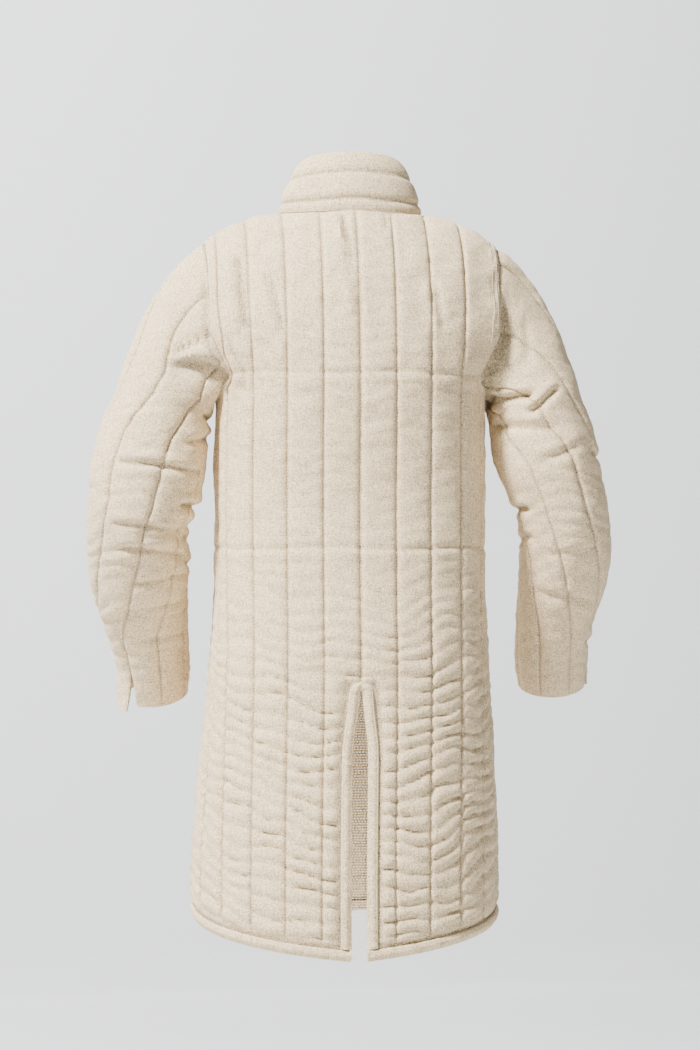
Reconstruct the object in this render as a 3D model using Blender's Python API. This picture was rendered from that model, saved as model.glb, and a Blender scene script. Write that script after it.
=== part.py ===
"""Gambeson: a quilted, padded coat for the body, knee-length, with set-in sleeves and a stand collar.

Frame: metres, +Z up, the front of the garment towards -Y, the wearer's left towards +X. The origin is
at the neck, level with the collar seam at the centre back, on the middle line of the shoulders.

The body is one smooth surface cut into panels along its seams. A place on it has two numbers: angle goes
round the body in degrees (0 centre back, 90 side, 180 centre front), and level goes up it (-1 hem,
0 underarm, 1 top of the shoulder). Every panel is a wall inside that surface.
"""
import math

import bmesh
import bpy
from mathutils import Vector

# Walls and gaps
SEAM_GAP = 0.0003
PANEL_WALL = 0.0060
SEAM_WALL = 0.0022
HEM_WALL = 0.0040
SLEEVE_WALL = 0.0050
COLLAR_WALL = 0.0070
BINDING_WALL = 0.0015
BINDING_GAP = 0.0005
BINDING_INNER_GAP = 0.0011
HEM_BINDING_WIDTH = 0.012
VENT_BINDING_WIDTH = 0.0135
TAPER_WIDTH = 0.020
PANEL_TAPER_SPAN = 0.25
SLEEVE_TAPER_SPAN = 0.12
BESIDE_VENT_TOP = 0.001
BINDING_LEG_WALL = HEM_WALL + (PANEL_WALL - HEM_WALL) * 0.75
BINDING_EDGE_STEP = 0.001
BINDING_FOOT_ROOM = 0.0015

# Body: sections below the underarm, each (height, half width, back depth, front depth, sideways lean)
UNDERARM_HEIGHT = -0.262
BODY_SECTIONS = (
    (-1.030, 0.213, 0.176, 0.160, 0.0085),
    (-0.900, 0.212, 0.167, 0.154, 0.0075),
    (-0.770, 0.204, 0.153, 0.146, 0.0045),
    (-0.640, 0.194, 0.138, 0.139, 0.0010),
    (-0.520, 0.188, 0.122, 0.130, 0.0000),
    (-0.400, 0.188, 0.116, 0.127, 0.0000),
    (-0.262, 0.187, 0.124, 0.133, 0.0000),
)
SECTION_POWER = 2.3
HEM_SIDE_HEIGHT = -0.978
HEM_BACK_DROP = 0.042
HEM_FRONT_DROP = 0.022

# Shoulders: the ridge line from the neck to the shoulder point, each (half width, height)
SHOULDER_RIDGE = (
    (-0.060, 0.0140),
    (0.000, 0.0300),
    (0.060, 0.0140),
    (0.101, -0.0040),
    (0.140, -0.0125),
    (0.172, -0.0255),
    (0.210, -0.0500),
    (0.240, -0.0740),
)
SHOULDER_SPREAD = 0.235
SPREAD_LEVEL = 0.45
DOME_POWER = 2.5
LEVEL_EASE = 1.6
ARMHOLE_ANGLE = 59.0
ARMHOLE_SWEEP = 31.0
ARMHOLE_CORNER = 0.045
GENTLE_CORNER = 0.5
BACK_SCOOP = 2.0
FRONT_SCOOP = 9.0

# Neck opening, in plan, and the collar that stands on it
NECK_HALF_WIDTH = 0.101
NECK_BACK = 0.064
NECK_FRONT = 0.104
COLLAR_TOP_HALF_WIDTH = 0.0745
COLLAR_TOP_BACK = 0.044
COLLAR_TOP_FRONT = 0.088
COLLAR_TOP_BACK_HEIGHT = 0.079
COLLAR_TOP_EASE = 0.65
COLLAR_TOP_FRONT_HEIGHT = 0.034
COLLAR_SWELL = 0.004
COLLAR_SEAM_PART = 0.3
COLLAR_EDGE_PART = 0.3
COLLAR_EDGE_THINNER = 0.002

# Slits: the back vent and the front opening, half widths of the gap between the cut edges
VENT_TOP = -0.660
VENT_ROUND = 0.0045
VENT_SPREAD = 0.095
VENT_HALF_GAP = 0.0130
FRONT_HALF_GAP = 0.0035
FRONT_HEM_HALF_GAP = 0.0060
FRONT_SPREAD_HEIGHT = -0.5
FRONT_SPREAD = 0.45
ARCH_STEPS = 6
ARCH_GAP = 0.0003
ARCH_BINDING_WIDTH = 0.0095
BELOW_ARCH = 0.006
BELOW_NECK = 0.012

# Sleeves: stations down the arm, each (out, back, height, half width, half depth)
LEFT_ARM = (
    (0.2630, 0.002, -0.275, 0.0660, 0.0720),
    (0.2755, 0.005, -0.320, 0.0740, 0.0730),
    (0.2840, 0.008, -0.365, 0.0780, 0.0720),
    (0.2920, 0.008, -0.400, 0.0740, 0.0700),
    (0.2990, 0.003, -0.424, 0.0665, 0.0680),
    (0.2961, -0.012, -0.460, 0.0680, 0.0670),
    (0.2927, -0.035, -0.511, 0.0665, 0.0630),
    (0.2854, -0.060, -0.557, 0.0600, 0.0570),
    (0.2745, -0.085, -0.612, 0.0520, 0.0510),
    (0.2644, -0.112, -0.679, 0.0450, 0.0460),
)
RIGHT_ARM = (
    (0.2620, 0.002, -0.275, 0.0650, 0.0720),
    (0.2710, 0.005, -0.315, 0.0715, 0.0730),
    (0.2800, 0.008, -0.350, 0.0700, 0.0720),
    (0.2930, 0.006, -0.385, 0.0640, 0.0690),
    (0.3037, 0.000, -0.420, 0.0620, 0.0680),
    (0.3104, -0.015, -0.466, 0.0625, 0.0660),
    (0.3095, -0.035, -0.511, 0.0610, 0.0620),
    (0.3047, -0.060, -0.562, 0.0545, 0.0570),
    (0.3042, -0.085, -0.614, 0.0510, 0.0520),
    (0.3083, -0.108, -0.668, 0.0490, 0.0480),
)
CUFF_SLIT = 0.050
CUFF_HALF_GAP = 0.0012
CUFF_WALL = 0.0035
LEFT_CUFF_SPLAY = 0.020
RIGHT_CUFF_SPLAY = 0.003
HANG_OUT = 0.42
HANG_DOWN = -0.9
TUCK_LEVEL = 0.16
TUCK_SPAN = 0.11

# The fold that the raised left sleeve throws at the back of the armpit
FOLD_DEPTH = 0.010
FOLD_HIGH = -0.195
FOLD_LOW = -0.212
FOLD_SIZE = 0.018
FOLD_START = 0.19
FOLD_RUN = 0.075
FOLD_IN = 0.205
FOLD_IN_SPAN = 0.015
FOLD_OUT = 0.29
FOLD_OUT_SPAN = 0.05

# Mesh counts
NECK_COLUMNS = 5
SHOULDER_COLUMNS = 5
PANEL_COLUMNS = NECK_COLUMNS + SHOULDER_COLUMNS
UPPER_LEVELS = (0.022, 0.055, 0.13, 0.25, 0.375, 0.5, 0.64, 0.8, 1.0)
VENT_ROWS = 6
VENT_TOP_ROWS = (0.0150, 0.0045, 0.0013, 0.0)
VENT_TOP_SHARE = 0.045
CHEST_ROWS = 7
CAP_ROWS = 6
ARM_ROWS = 14
COLLAR_ROWS = 4
VENT_BINDING_ROWS = 9
ARC_STEPS = 60

CANVAS_COLOUR = (0.72, 0.65, 0.54, 1.0)
BINDING_COLOUR = (0.70, 0.63, 0.51, 1.0)


def blend(a, b, amount):
    """The value part of the way from a to b."""
    return a + (b - a) * amount


def ease(amount):
    """Zero to one with a soft start and a soft end."""
    amount = min(max(amount, 0.0), 1.0)
    return amount * amount * (3.0 - 2.0 * amount)


def signed_power(value, power):
    return math.copysign(abs(value) ** power, value)


def smooth_row(rows, place):
    """Values between the rows of a table, whose first column is the place, on a smooth curve."""
    place = min(max(place, rows[0][0]), rows[-1][0])
    last = len(rows) - 1
    i = 0
    while i < last - 1 and place > rows[i + 1][0]:
        i += 1
    before, start = rows[max(i - 1, 0)], rows[i]
    end, after = rows[i + 1], rows[min(i + 2, last)]
    step = end[0] - start[0]
    t = (place - start[0]) / step
    values = []
    for c in range(1, len(start)):
        slope_start = (end[c] - before[c]) / (end[0] - before[0]) * step
        slope_end = (after[c] - start[c]) / (after[0] - start[0]) * step
        rise = end[c] - start[c]
        values.append(start[c] + t * slope_start
                      + t * t * (3 * rise - 2 * slope_start - slope_end)
                      + t ** 3 * (slope_start + slope_end - 2 * rise))
    return values


# ---------------------------------------------------------------- the body's surface

def hem_height(angle):
    """The hem is lowest at the centre back and rises in a straight line to the sides."""
    turn = abs(angle)
    if turn <= 90:
        return HEM_SIDE_HEIGHT - HEM_BACK_DROP * (1 - turn / 90)
    return HEM_SIDE_HEIGHT - HEM_FRONT_DROP * (1 - (180 - turn) / 90)


def section_point(angle, height):
    """A point on the body's section at a height."""
    half_width, back, front, lean = smooth_row(BODY_SECTIONS, height)
    turn = math.radians(angle)
    depth = back if math.cos(turn) >= 0 else front
    x = lean + half_width * signed_power(math.sin(turn), 2 / SECTION_POWER)
    y = depth * signed_power(math.cos(turn), 2 / SECTION_POWER)
    return Vector((x, y, height))


def dome_height(level):
    """How far a level is up from the underarm to the shoulder ridge, and how much depth is left."""
    turn = math.radians(90 * level ** LEVEL_EASE)
    return math.sin(turn) ** (2 / DOME_POWER), math.cos(turn)


def body_point(angle, level):
    """A point of the outer surface. Levels over 1 carry on down the other side of the shoulder."""
    if level < 0:
        low = hem_height(angle)
        return section_point(angle, blend(low, UNDERARM_HEIGHT, 1 + level))
    if level > 1:
        return body_point(180 - angle, 2 - level)
    half_width, back, front, lean = smooth_row(BODY_SECTIONS, UNDERARM_HEIGHT)
    rise, depth_left = dome_height(level)
    half_width = blend(half_width, SHOULDER_SPREAD, ease(rise / SPREAD_LEVEL))
    turn = math.radians(angle)
    depth = back if math.cos(turn) >= 0 else front
    x = half_width * signed_power(math.sin(turn), 2 / SECTION_POWER)
    y = depth * signed_power(math.cos(turn), 2 / SECTION_POWER) * depth_left
    ridge = smooth_row(SHOULDER_RIDGE, abs(x))[0]
    return Vector((x, y, blend(UNDERARM_HEIGHT, ridge, rise)))


def body_normal(angle, level):
    """The outward direction of the surface, from points a little to each side."""
    across = body_point(angle + 0.6, level) - body_point(angle - 0.6, level)
    up = body_point(angle, level + 0.01) - body_point(angle, level - 0.01)
    normal = across.cross(up).normalized()
    point = body_point(angle, level)
    if normal.dot(Vector((point.x, point.y, 0.02))) < 0:
        normal.negate()
    return normal


def girth_angles(height_of, centre, gap, count):
    """Angles at equal steps along the section, from the gap beside the centre line to the side."""
    direction = 1 if centre == 0 else -1
    angles = [centre + direction * 90 * i / ARC_STEPS for i in range(ARC_STEPS + 1)]
    points = [section_point(a, height_of(a)) for a in angles]
    lengths = [0.0]
    for i in range(ARC_STEPS):
        lengths.append(lengths[-1] + (points[i + 1] - points[i]).length)
    result = []
    for c in range(count + 1):
        wanted = blend(gap, lengths[-1], c / count)
        i = 0
        while i < ARC_STEPS - 1 and lengths[i + 1] < wanted:
            i += 1
        part = (wanted - lengths[i]) / (lengths[i + 1] - lengths[i])
        result.append(blend(angles[i], angles[i + 1], part))
    return result


def armhole_angle(level, centre, away=0.0):
    """Where the armhole edge crosses a level, as the turn from the panel's centre line.

    Away from the edge, towards the centre (1), the same line takes its corner more gently.
    """
    rise = dome_height(level)[0]
    scoop = BACK_SCOOP if centre == 0 else FRONT_SCOOP
    corner = blend(ARMHOLE_CORNER, GENTLE_CORNER, away * away)
    turn = ARMHOLE_ANGLE + ARMHOLE_SWEEP * math.exp(-rise / corner)
    return turn - scoop * 4 * rise * (1 - rise)


def top_place(column, centre):
    """The turn and level of the panel's top edge: the neck first, then the shoulder seam."""
    if column <= NECK_COLUMNS:
        around = math.radians(90 * column / NECK_COLUMNS)
        reach = NECK_BACK if centre == 0 else NECK_FRONT
        half_width, back, front, lean = smooth_row(BODY_SECTIONS, UNDERARM_HEIGHT)
        x = NECK_HALF_WIDTH * math.sin(around)
        ratio = x / SHOULDER_SPREAD
        depth = (back if centre == 0 else front) * (1 - ratio ** SECTION_POWER) ** (1 / SECTION_POWER)
        turn = math.degrees(math.acos(min(reach * math.cos(around) / depth, 1.0)))
        level = (turn / 90) ** (1 / LEVEL_EASE)
    else:
        part = (column - NECK_COLUMNS) / SHOULDER_COLUMNS
        shoulder = SHOULDER_SPREAD * math.sin(math.radians(ARMHOLE_ANGLE)) ** (2 / SECTION_POWER)
        x = blend(NECK_HALF_WIDTH, shoulder, part)
        ratio = x / SHOULDER_SPREAD
        level = 1.0
    return math.degrees(math.asin(ratio ** (SECTION_POWER / 2))), level


def slit_half_gap(height, centre):
    """Half the gap between the cut edges: the back vent is closed above its rounded top."""
    if centre != 0:
        return blend(FRONT_HALF_GAP, FRONT_HEM_HALF_GAP,
                     ease((FRONT_SPREAD_HEIGHT - height) / FRONT_SPREAD))
    below = VENT_TOP - height
    if below <= 0.000001:
        return 0.0
    left = max(VENT_ROUND - below, 0.0)
    arch = math.sqrt(VENT_ROUND ** 2 - left ** 2)
    return arch + (VENT_HALF_GAP - VENT_ROUND) * ease(below / VENT_SPREAD)


def body_shares():
    """Heights of the rows from the hem to the underarm, close together round the top of the vent."""
    low = hem_height(0)
    span = UNDERARM_HEIGHT - low
    top = (VENT_TOP - low) / span
    start = top - VENT_TOP_SHARE
    shares = [start * i / VENT_ROWS for i in range(VENT_ROWS + 1)]
    shares += [top - below / span for below in VENT_TOP_ROWS]
    shares += [blend(top, 1.0, i / CHEST_ROWS) for i in range(1, CHEST_ROWS + 1)]
    return shares


def panel_places(centre):
    """Angle and level of every grid point of a half panel, row by row from the hem."""
    rows = []
    for share in body_shares():
        level = share - 1

        def height_of(angle):
            return blend(hem_height(angle), UNDERARM_HEIGHT, share)

        gap = slit_half_gap(height_of(centre), centre)
        angles = girth_angles(height_of, centre, gap, PANEL_COLUMNS)
        rows.append([(angle, level) for angle in angles])
    direction = 1 if centre == 0 else -1
    underarm = [abs(angle - centre) for angle, level in rows[-1]]
    front_turn = underarm[0] if centre != 0 else 0.0
    for level in UPPER_LEVELS:
        row = []
        for c in range(PANEL_COLUMNS + 1):
            top_turn, top_level = top_place(c, centre)
            place = level * top_level
            away = 1 - c / PANEL_COLUMNS
            low_share = underarm[c] / 90
            top_share = top_turn / armhole_angle(top_level, centre, away)
            turn = armhole_angle(place, centre, away) * blend(low_share, top_share, level)
            turn = max(turn, front_turn)
            row.append((centre + direction * turn, place))
        rows.append(row)
    return rows


# ---------------------------------------------------------------- meshes

def new_object(name, mesh_builder, colour):
    """One named object with its own cloth material."""
    builder = mesh_builder()
    bmesh.ops.remove_doubles(builder, verts=builder.verts, dist=0.00001)
    bmesh.ops.recalc_face_normals(builder, faces=builder.faces)
    mesh = bpy.data.meshes.new(name)
    builder.to_mesh(mesh)
    builder.free()
    mesh.shade_smooth()
    mesh.set_sharp_from_angle(angle=math.radians(50))
    material = bpy.data.materials.new(name + "_cloth")
    material.use_nodes = True
    shader = material.node_tree.nodes["Principled BSDF"]
    shader.inputs["Base Color"].default_value = colour
    shader.inputs["Roughness"].default_value = 0.92
    shader.inputs["Metallic"].default_value = 0.0
    mesh.materials.append(material)
    thing = bpy.data.objects.new(name, mesh)
    bpy.context.collection.objects.link(thing)
    return thing


def add_wall(builder, outer, inner):
    """A padded sheet between two grids of points with the same number of rows and columns."""
    rows, columns = len(outer), len(outer[0])
    place = builder.verts.layers.int.get("place") or builder.verts.layers.int.new("place")
    made = bmesh.ops.create_grid(builder, x_segments=columns - 1, y_segments=rows - 1, size=1.0)
    sheet_verts = made["verts"]
    for number, vert in enumerate(sheet_verts):
        vert[place] = number
    sheet_faces = list({face for vert in sheet_verts for face in vert.link_faces})
    lifted = bmesh.ops.extrude_face_region(builder, geom=sheet_faces, use_keep_orig=True)
    lifted_verts = [part for part in lifted["geom"] if isinstance(part, bmesh.types.BMVert)]
    for vert in sheet_verts:
        vert.co = outer[vert[place] // columns][vert[place] % columns]
    for vert in lifted_verts:
        vert.co = inner[vert[place] // columns][vert[place] % columns]


def add_tube(builder, rings):
    """A closed strip through rings of points, with flat ends."""
    loops = []
    for ring in rings:
        verts = [builder.verts.new(point) for point in ring]
        edges = [builder.edges.new((verts[i - 1], verts[i])) for i in range(len(verts))]
        loops.append(edges)
        if len(loops) == 1 or len(loops) == len(rings):
            builder.faces.new(verts)
    for start, end in zip(loops, loops[1:]):
        bmesh.ops.bridge_loops(builder, edges=start + end)


def wall_taper(distance):
    """Wall thickness near a seam, where the quilting is pressed flat."""
    return ease(distance / TAPER_WIDTH)


def mirrored(point, side):
    return Vector((point.x * side, point.y, point.z)) if side < 0 else point.copy()


def pull_in(grid, rows, columns):
    """Draws the top and side edges of a panel in by half a seam gap."""
    half = SEAM_GAP / 2
    moved = [[point.copy() for point in row] for row in grid]
    for r in range(rows):
        step = grid[r][columns - 2] - grid[r][columns - 1]
        moved[r][columns - 1] += step.normalized() * half
    for c in range(columns):
        step = grid[rows - 2][c] - grid[rows - 1][c]
        moved[rows - 1][c] += step.normalized() * half
    return moved


def half_panel(centre, side):
    """Outer and inner grids of half of the back, or of one front."""
    places = panel_places(centre)
    outer, inner = [], []
    for r, row in enumerate(places):
        outer_row, inner_row = [], []
        for c, (angle, level) in enumerate(row):
            point = body_point(angle * side, level)
            normal = body_normal(angle * side, level)
            to_edge = (PANEL_COLUMNS - c) / PANEL_COLUMNS * PANEL_TAPER_SPAN
            to_top = (len(places) - 1 - r) / len(UPPER_LEVELS) * PANEL_TAPER_SPAN
            to_hem = (point - body_point(angle * side, -1)).length
            wall = blend(SEAM_WALL, PANEL_WALL, min(wall_taper(to_edge), wall_taper(to_top)))
            wall = min(wall, blend(HEM_WALL, PANEL_WALL, wall_taper(to_hem)))
            if c == 0 and (centre != 0 or point.z < VENT_TOP + BESIDE_VENT_TOP):
                wall = min(wall, HEM_WALL)
            outer_row.append(point)
            inner_row.append(point - normal * wall)
        outer.append(outer_row)
        inner.append(inner_row)
    rows, columns = len(outer), len(outer[0])
    return pull_in(outer, rows, columns), pull_in(inner, rows, columns)


def drop_inner_walls(builder):
    """Joins the edges of a sheet that meet, and removes the strip of faces left inside the join."""
    bmesh.ops.remove_doubles(builder, verts=builder.verts, dist=0.00001)
    inside = []
    for face in builder.faces:
        crowded = [edge for edge in face.edges if len(edge.link_faces) > 2]
        if len(crowded) > 1:
            inside.append(face)
    bmesh.ops.delete(builder, geom=inside, context="FACES")


def build_back():
    builder = bmesh.new()
    for side in (1, -1):
        outer, inner = half_panel(0, side)
        add_wall(builder, outer, inner)
    drop_inner_walls(builder)
    return builder


def build_front(side):
    builder = bmesh.new()
    outer, inner = half_panel(180, side)
    add_wall(builder, outer, inner)
    return builder


# ---------------------------------------------------------------- collar

def grid_normals(grid, axis_of):
    """Directions away from an axis, square to a grid of points."""
    rows, columns = len(grid), len(grid[0])
    closed = (grid[0][0] - grid[0][-1]).length < 0.004
    normals = []
    for r in range(rows):
        row = []
        for c in range(columns):
            before = grid[r][c - 1] if c > 0 else grid[r][columns - 2 if closed else 0]
            after = grid[r][c + 1] if c < columns - 1 else grid[r][1 if closed else columns - 1]
            up = grid[min(r + 1, rows - 1)][c] - grid[max(r - 1, 0)][c]
            normal = (after - before).cross(up).normalized()
            if normal.dot(grid[r][c] - axis_of(r)) < 0:
                normal.negate()
            row.append(normal)
        normals.append(row)
    return normals


def neckline(side):
    """The panels' top edge from the centre front to the centre back of one side."""
    front = half_panel(180, side)[0][-1][:NECK_COLUMNS + 1]
    back = half_panel(0, side)[0][-1][:NECK_COLUMNS]
    return front + back[::-1]


def collar_top(part, side):
    """The top edge, from the centre front (0) to the centre back (1)."""
    around = math.radians(180 * (1 - part))
    reach = COLLAR_TOP_BACK if math.cos(around) > 0 else COLLAR_TOP_FRONT
    level = max((1 + math.cos(around)) / 2, 0.0) ** COLLAR_TOP_EASE
    height = blend(COLLAR_TOP_FRONT_HEIGHT, COLLAR_TOP_BACK_HEIGHT, level)
    out = COLLAR_TOP_HALF_WIDTH * math.sin(around)
    return Vector((max(out, FRONT_HALF_GAP) * side if part < 0.5 else out * side,
                   reach * math.cos(around), height))


def build_collar():
    builder = bmesh.new()
    base, top = [], []
    for side in (1, -1):
        line = neckline(side)
        parts = [c / (len(line) - 1) for c in range(len(line))]
        edge = [collar_top(part, side) for part in parts]
        if side < 0:
            line, edge = line[-2::-1], edge[-2::-1]
        base += line
        top += edge
    outer = []
    for r in range(COLLAR_ROWS + 1):
        part = r / COLLAR_ROWS
        row = []
        for low, high in zip(base, top):
            low = low + Vector((0, 0, SEAM_GAP * 1.5))
            out = Vector((low.x, low.y + 0.01, 0)).normalized()
            row.append(low.lerp(high, part) + out * COLLAR_SWELL * math.sin(math.pi * part))
        outer.append(row)
    normals = grid_normals(outer, lambda r: Vector((0, -0.02, outer[r][0].z - 0.03)))
    inner = []
    for r, row in enumerate(outer):
        part = r / COLLAR_ROWS
        to_edge = ease((part - 1 + COLLAR_EDGE_PART) / COLLAR_EDGE_PART)
        wall = (blend(SEAM_WALL, COLLAR_WALL, ease(part / COLLAR_SEAM_PART))
                - COLLAR_EDGE_THINNER * to_edge)
        level = []
        for point, normal in zip(row, normals[r]):
            if r == 0:
                normal = Vector((normal.x, normal.y, 0)).normalized()
            level.append(point - normal * wall)
        inner.append(level)
    add_wall(builder, outer, inner)
    return builder


# ---------------------------------------------------------------- bindings

def folded_strip(edge, leg, turn, inside, inside_leg, inside_turn, normal):
    """The ring of a binding folded over a cut edge, with its two legs on the two faces."""
    near, far = BINDING_GAP, BINDING_GAP + BINDING_WALL
    under, deep = BINDING_INNER_GAP, BINDING_INNER_GAP + BINDING_WALL
    return [leg + normal * near, leg + normal * far, edge + turn * far + normal * far,
            inside + inside_turn * far - normal * deep, inside_leg - normal * deep,
            inside_leg - normal * under, inside + inside_turn * near - normal * under,
            edge + turn * near + normal * near]


def build_hem_binding(side):
    """Goes from the vent, round the side, to the front opening."""
    edges = []
    for centre in (0, 180):
        outer, inner = half_panel(centre, side)
        places = panel_places(centre)
        line = []
        for c in range(PANEL_COLUMNS + 1):
            angle, level = places[0][c]
            line.append((outer[0][c], outer[1][c], inner[0][c], inner[1][c],
                         body_normal(angle * side, level)))
        edges += line if centre == 0 else line[-2::-1]
    rings = []
    for number, (edge, above, inside, inside_above, normal) in enumerate(edges):
        turn = (edge - above).normalized()
        inside_turn = (inside - inside_above).normalized()
        past = Vector((0, 0, 0))
        if number == 0:
            past = (edge - edges[1][0]).normalized() * (BINDING_GAP + BINDING_WALL)
        if number == len(edges) - 1:
            past = (edge - edges[-2][0]).normalized() * (BINDING_GAP + BINDING_WALL)
        ring = folded_strip(edge, edge - turn * HEM_BINDING_WIDTH, turn, inside,
                            inside - inside_turn * HEM_BINDING_WIDTH, inside_turn, normal)
        rings.append([point + past for point in ring])
    builder = bmesh.new()
    add_tube(builder, rings)
    return builder


def beside_centre(across, level, centre, side):
    """A point and its outward direction at a small distance across from a centre line."""
    if level < 0:
        half_width = smooth_row(BODY_SECTIONS, section_height(level, centre))[0]
    else:
        half_width = blend(BODY_SECTIONS[-1][1], SHOULDER_SPREAD,
                           ease(dome_height(level)[0] / SPREAD_LEVEL))
    turn = math.degrees(math.asin((abs(across) / half_width) ** (SECTION_POWER / 2)))
    angle = (turn if centre == 0 else 180 - turn) * side * (1 if across >= 0 else -1)
    return body_point(angle, level), body_normal(angle, level)


def section_height(level, centre):
    return blend(hem_height(centre), UNDERARM_HEIGHT, 1 + level)


def slit_ring(across, level, lean, width, centre, side):
    """The binding's ring at a place on a slit; lean turns it from sideways to straight up."""
    span = UNDERARM_HEIGHT - hem_height(centre)
    step = Vector((math.cos(lean), math.sin(lean) / span))

    def place(distance):
        return beside_centre(across + step.x * distance, level + step.y * distance, centre, side)

    edge, normal = place(0.0)
    leg, leg_normal = place(width)
    beyond = place(-BINDING_EDGE_STEP)[0]
    turn = (beyond - edge).normalized()
    inside = edge - normal * HEM_WALL
    inside_leg = leg - leg_normal * BINDING_LEG_WALL
    return folded_strip(edge, leg, turn, inside, inside_leg, turn, normal)


def binding_foot(centre):
    """The level just above the hem binding."""
    span = UNDERARM_HEIGHT - hem_height(centre)
    return -1 + (HEM_BINDING_WIDTH + 2 * SEAM_GAP + BINDING_FOOT_ROOM) / span


def build_vent_binding():
    span = UNDERARM_HEIGHT - hem_height(0)
    arch_level = (VENT_TOP - VENT_ROUND - hem_height(0)) / span - 1
    foot = binding_foot(0)
    half = []
    for i in range(VENT_BINDING_ROWS + 1):
        level = blend(foot, arch_level - BELOW_ARCH, i / VENT_BINDING_ROWS)
        gap = slit_half_gap(section_height(level, 0), 0)
        half.append((gap, level, 0.0, VENT_BINDING_WIDTH))
    radius = VENT_ROUND - ARCH_GAP
    arch = []
    for i in range(ARCH_STEPS + 1):
        lean = math.pi * i / ARCH_STEPS
        width = blend(VENT_BINDING_WIDTH, ARCH_BINDING_WIDTH, math.sin(lean))
        arch.append((radius * math.cos(lean), arch_level + radius * math.sin(lean) / span,
                     lean, width))
    other = [(-gap, level, math.pi, width) for gap, level, lean, width in reversed(half)]
    builder = bmesh.new()
    rings = [slit_ring(across, level, lean, width, 0, 1)
             for across, level, lean, width in half + arch + other]
    add_tube(builder, rings)
    return builder


def build_front_binding(side):
    foot = binding_foot(180)
    top = top_place(0, 180)[1] - BELOW_NECK
    levels = [foot] + [share - 1 for share in body_shares()[1::2]]
    levels += [top * part for part in UPPER_LEVELS]
    rings = []
    for level in levels:
        height = body_point(180, level).z
        gap = slit_half_gap(height, 180)
        rings.append(slit_ring(gap, level, 0.0, HEM_BINDING_WIDTH, 180, side))
    builder = bmesh.new()
    add_tube(builder, rings)
    return builder


# ---------------------------------------------------------------- sleeves

def armhole(side):
    """Points round the armhole: down the back from the shoulder, then up the front."""
    ring = []
    back_levels = UPPER_LEVELS[::-1] + (0.0,)
    for centre, levels in ((0, back_levels), (180, UPPER_LEVELS[:-1])):
        direction = 1 if centre == 0 else -1
        for level in levels:
            turn = 90.0 if level == 0 else armhole_angle(level, centre)
            angle = (centre + direction * turn) * side
            tuck = ease((TUCK_LEVEL - level) / TUCK_SPAN)
            ring.append([body_point(angle, level), body_normal(angle, level), tuck])
    count = len(ring)
    middle = sum((place[0] for place in ring), Vector()) / count
    for number, place in enumerate(ring):
        edge, normal, tuck = place
        along = ring[(number + 1) % count][0] - ring[number - 1][0]
        away = along.cross(normal).normalized()
        if away.dot(middle - edge) < 0:
            away.negate()
        place.append(away)
    return ring


def arm_place(stations, place, side):
    """The centre, the outward and backward directions and the half sizes of a sleeve section."""
    table = [(float(i),) + row for i, row in enumerate(stations)]
    out, back, height, half_width, half_depth = smooth_row(table, place)
    ahead = smooth_row(table, place + 0.15)
    behind = smooth_row(table, place - 0.15)
    along = Vector((ahead[0] - behind[0], ahead[1] - behind[1], ahead[2] - behind[2])).normalized()
    sideways = (Vector((1, 0, 0)) - along * along.x).normalized()
    backward = sideways.cross(along)
    if backward.y < 0:
        backward.negate()
    centre = Vector((out, back, height))
    return (mirrored(centre, side), mirrored(along, side), mirrored(sideways, side),
            mirrored(backward, side), half_width, half_depth)


def sleeve_grids(side, stations, slit_column, splay):
    """Rows of points from the armhole to the cuff; each row starts and ends at the cuff slit."""
    hole = armhole(side)
    count = len(hole)
    order = [(slit_column + c) % count for c in range(count)] + [slit_column]
    centre, along, sideways, backward, half_width, half_depth = arm_place(stations, 0.0, side)
    rows, centres, first_normals = [], [], []
    for r in range(CAP_ROWS):
        t = r / CAP_ROWS
        row = []
        for j in order:
            edge, normal, tuck, away = hole[j]
            start = edge + away.lerp(normal, tuck).normalized() * SEAM_GAP * 2
            hang = Vector((HANG_OUT * side, 0, HANG_DOWN))
            leave = away.lerp(hang, tuck).normalized()
            turn = math.radians(360 * j / count)
            end = (centre + sideways * half_width * math.cos(turn)
                   + backward * half_depth * math.sin(turn))
            reach = (end - start).length
            row.append(start * (2 * t ** 3 - 3 * t * t + 1) + leave * reach * (t ** 3 - 2 * t * t + t)
                       + end * (3 * t * t - 2 * t ** 3) + along * reach * (t ** 3 - t * t))
        rows.append(row)
        centres.append(centre)
    last = len(stations) - 1
    for r in range(ARM_ROWS + 1):
        place = last * r / ARM_ROWS
        centre, along, sideways, backward, half_width, half_depth = arm_place(stations, place, side)
        to_cuff = (arm_place(stations, last, side)[0] - centre).length
        opening = max(1 - to_cuff / CUFF_SLIT, 0.0) if r > ARM_ROWS - 3 else 0.0
        row = []
        for c, j in enumerate(order):
            turn = math.radians(360 * j / count)
            spread = 1 + splay / half_width * opening ** 1.3 * ease((c - count + 5) / 5)
            point = (centre + sideways * half_width * math.cos(turn) * spread
                     + backward * half_depth * math.sin(turn) * spread)
            if opening > 0 and c in (0, count):
                round_way = backward * math.cos(turn) - sideways * math.sin(turn)
                point += round_way * CUFF_HALF_GAP * (1 if c == 0 else -1)
            row.append(point)
        rows.append(row)
        centres.append(centre)
    return rows, centres, [hole[j] for j in order]


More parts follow.
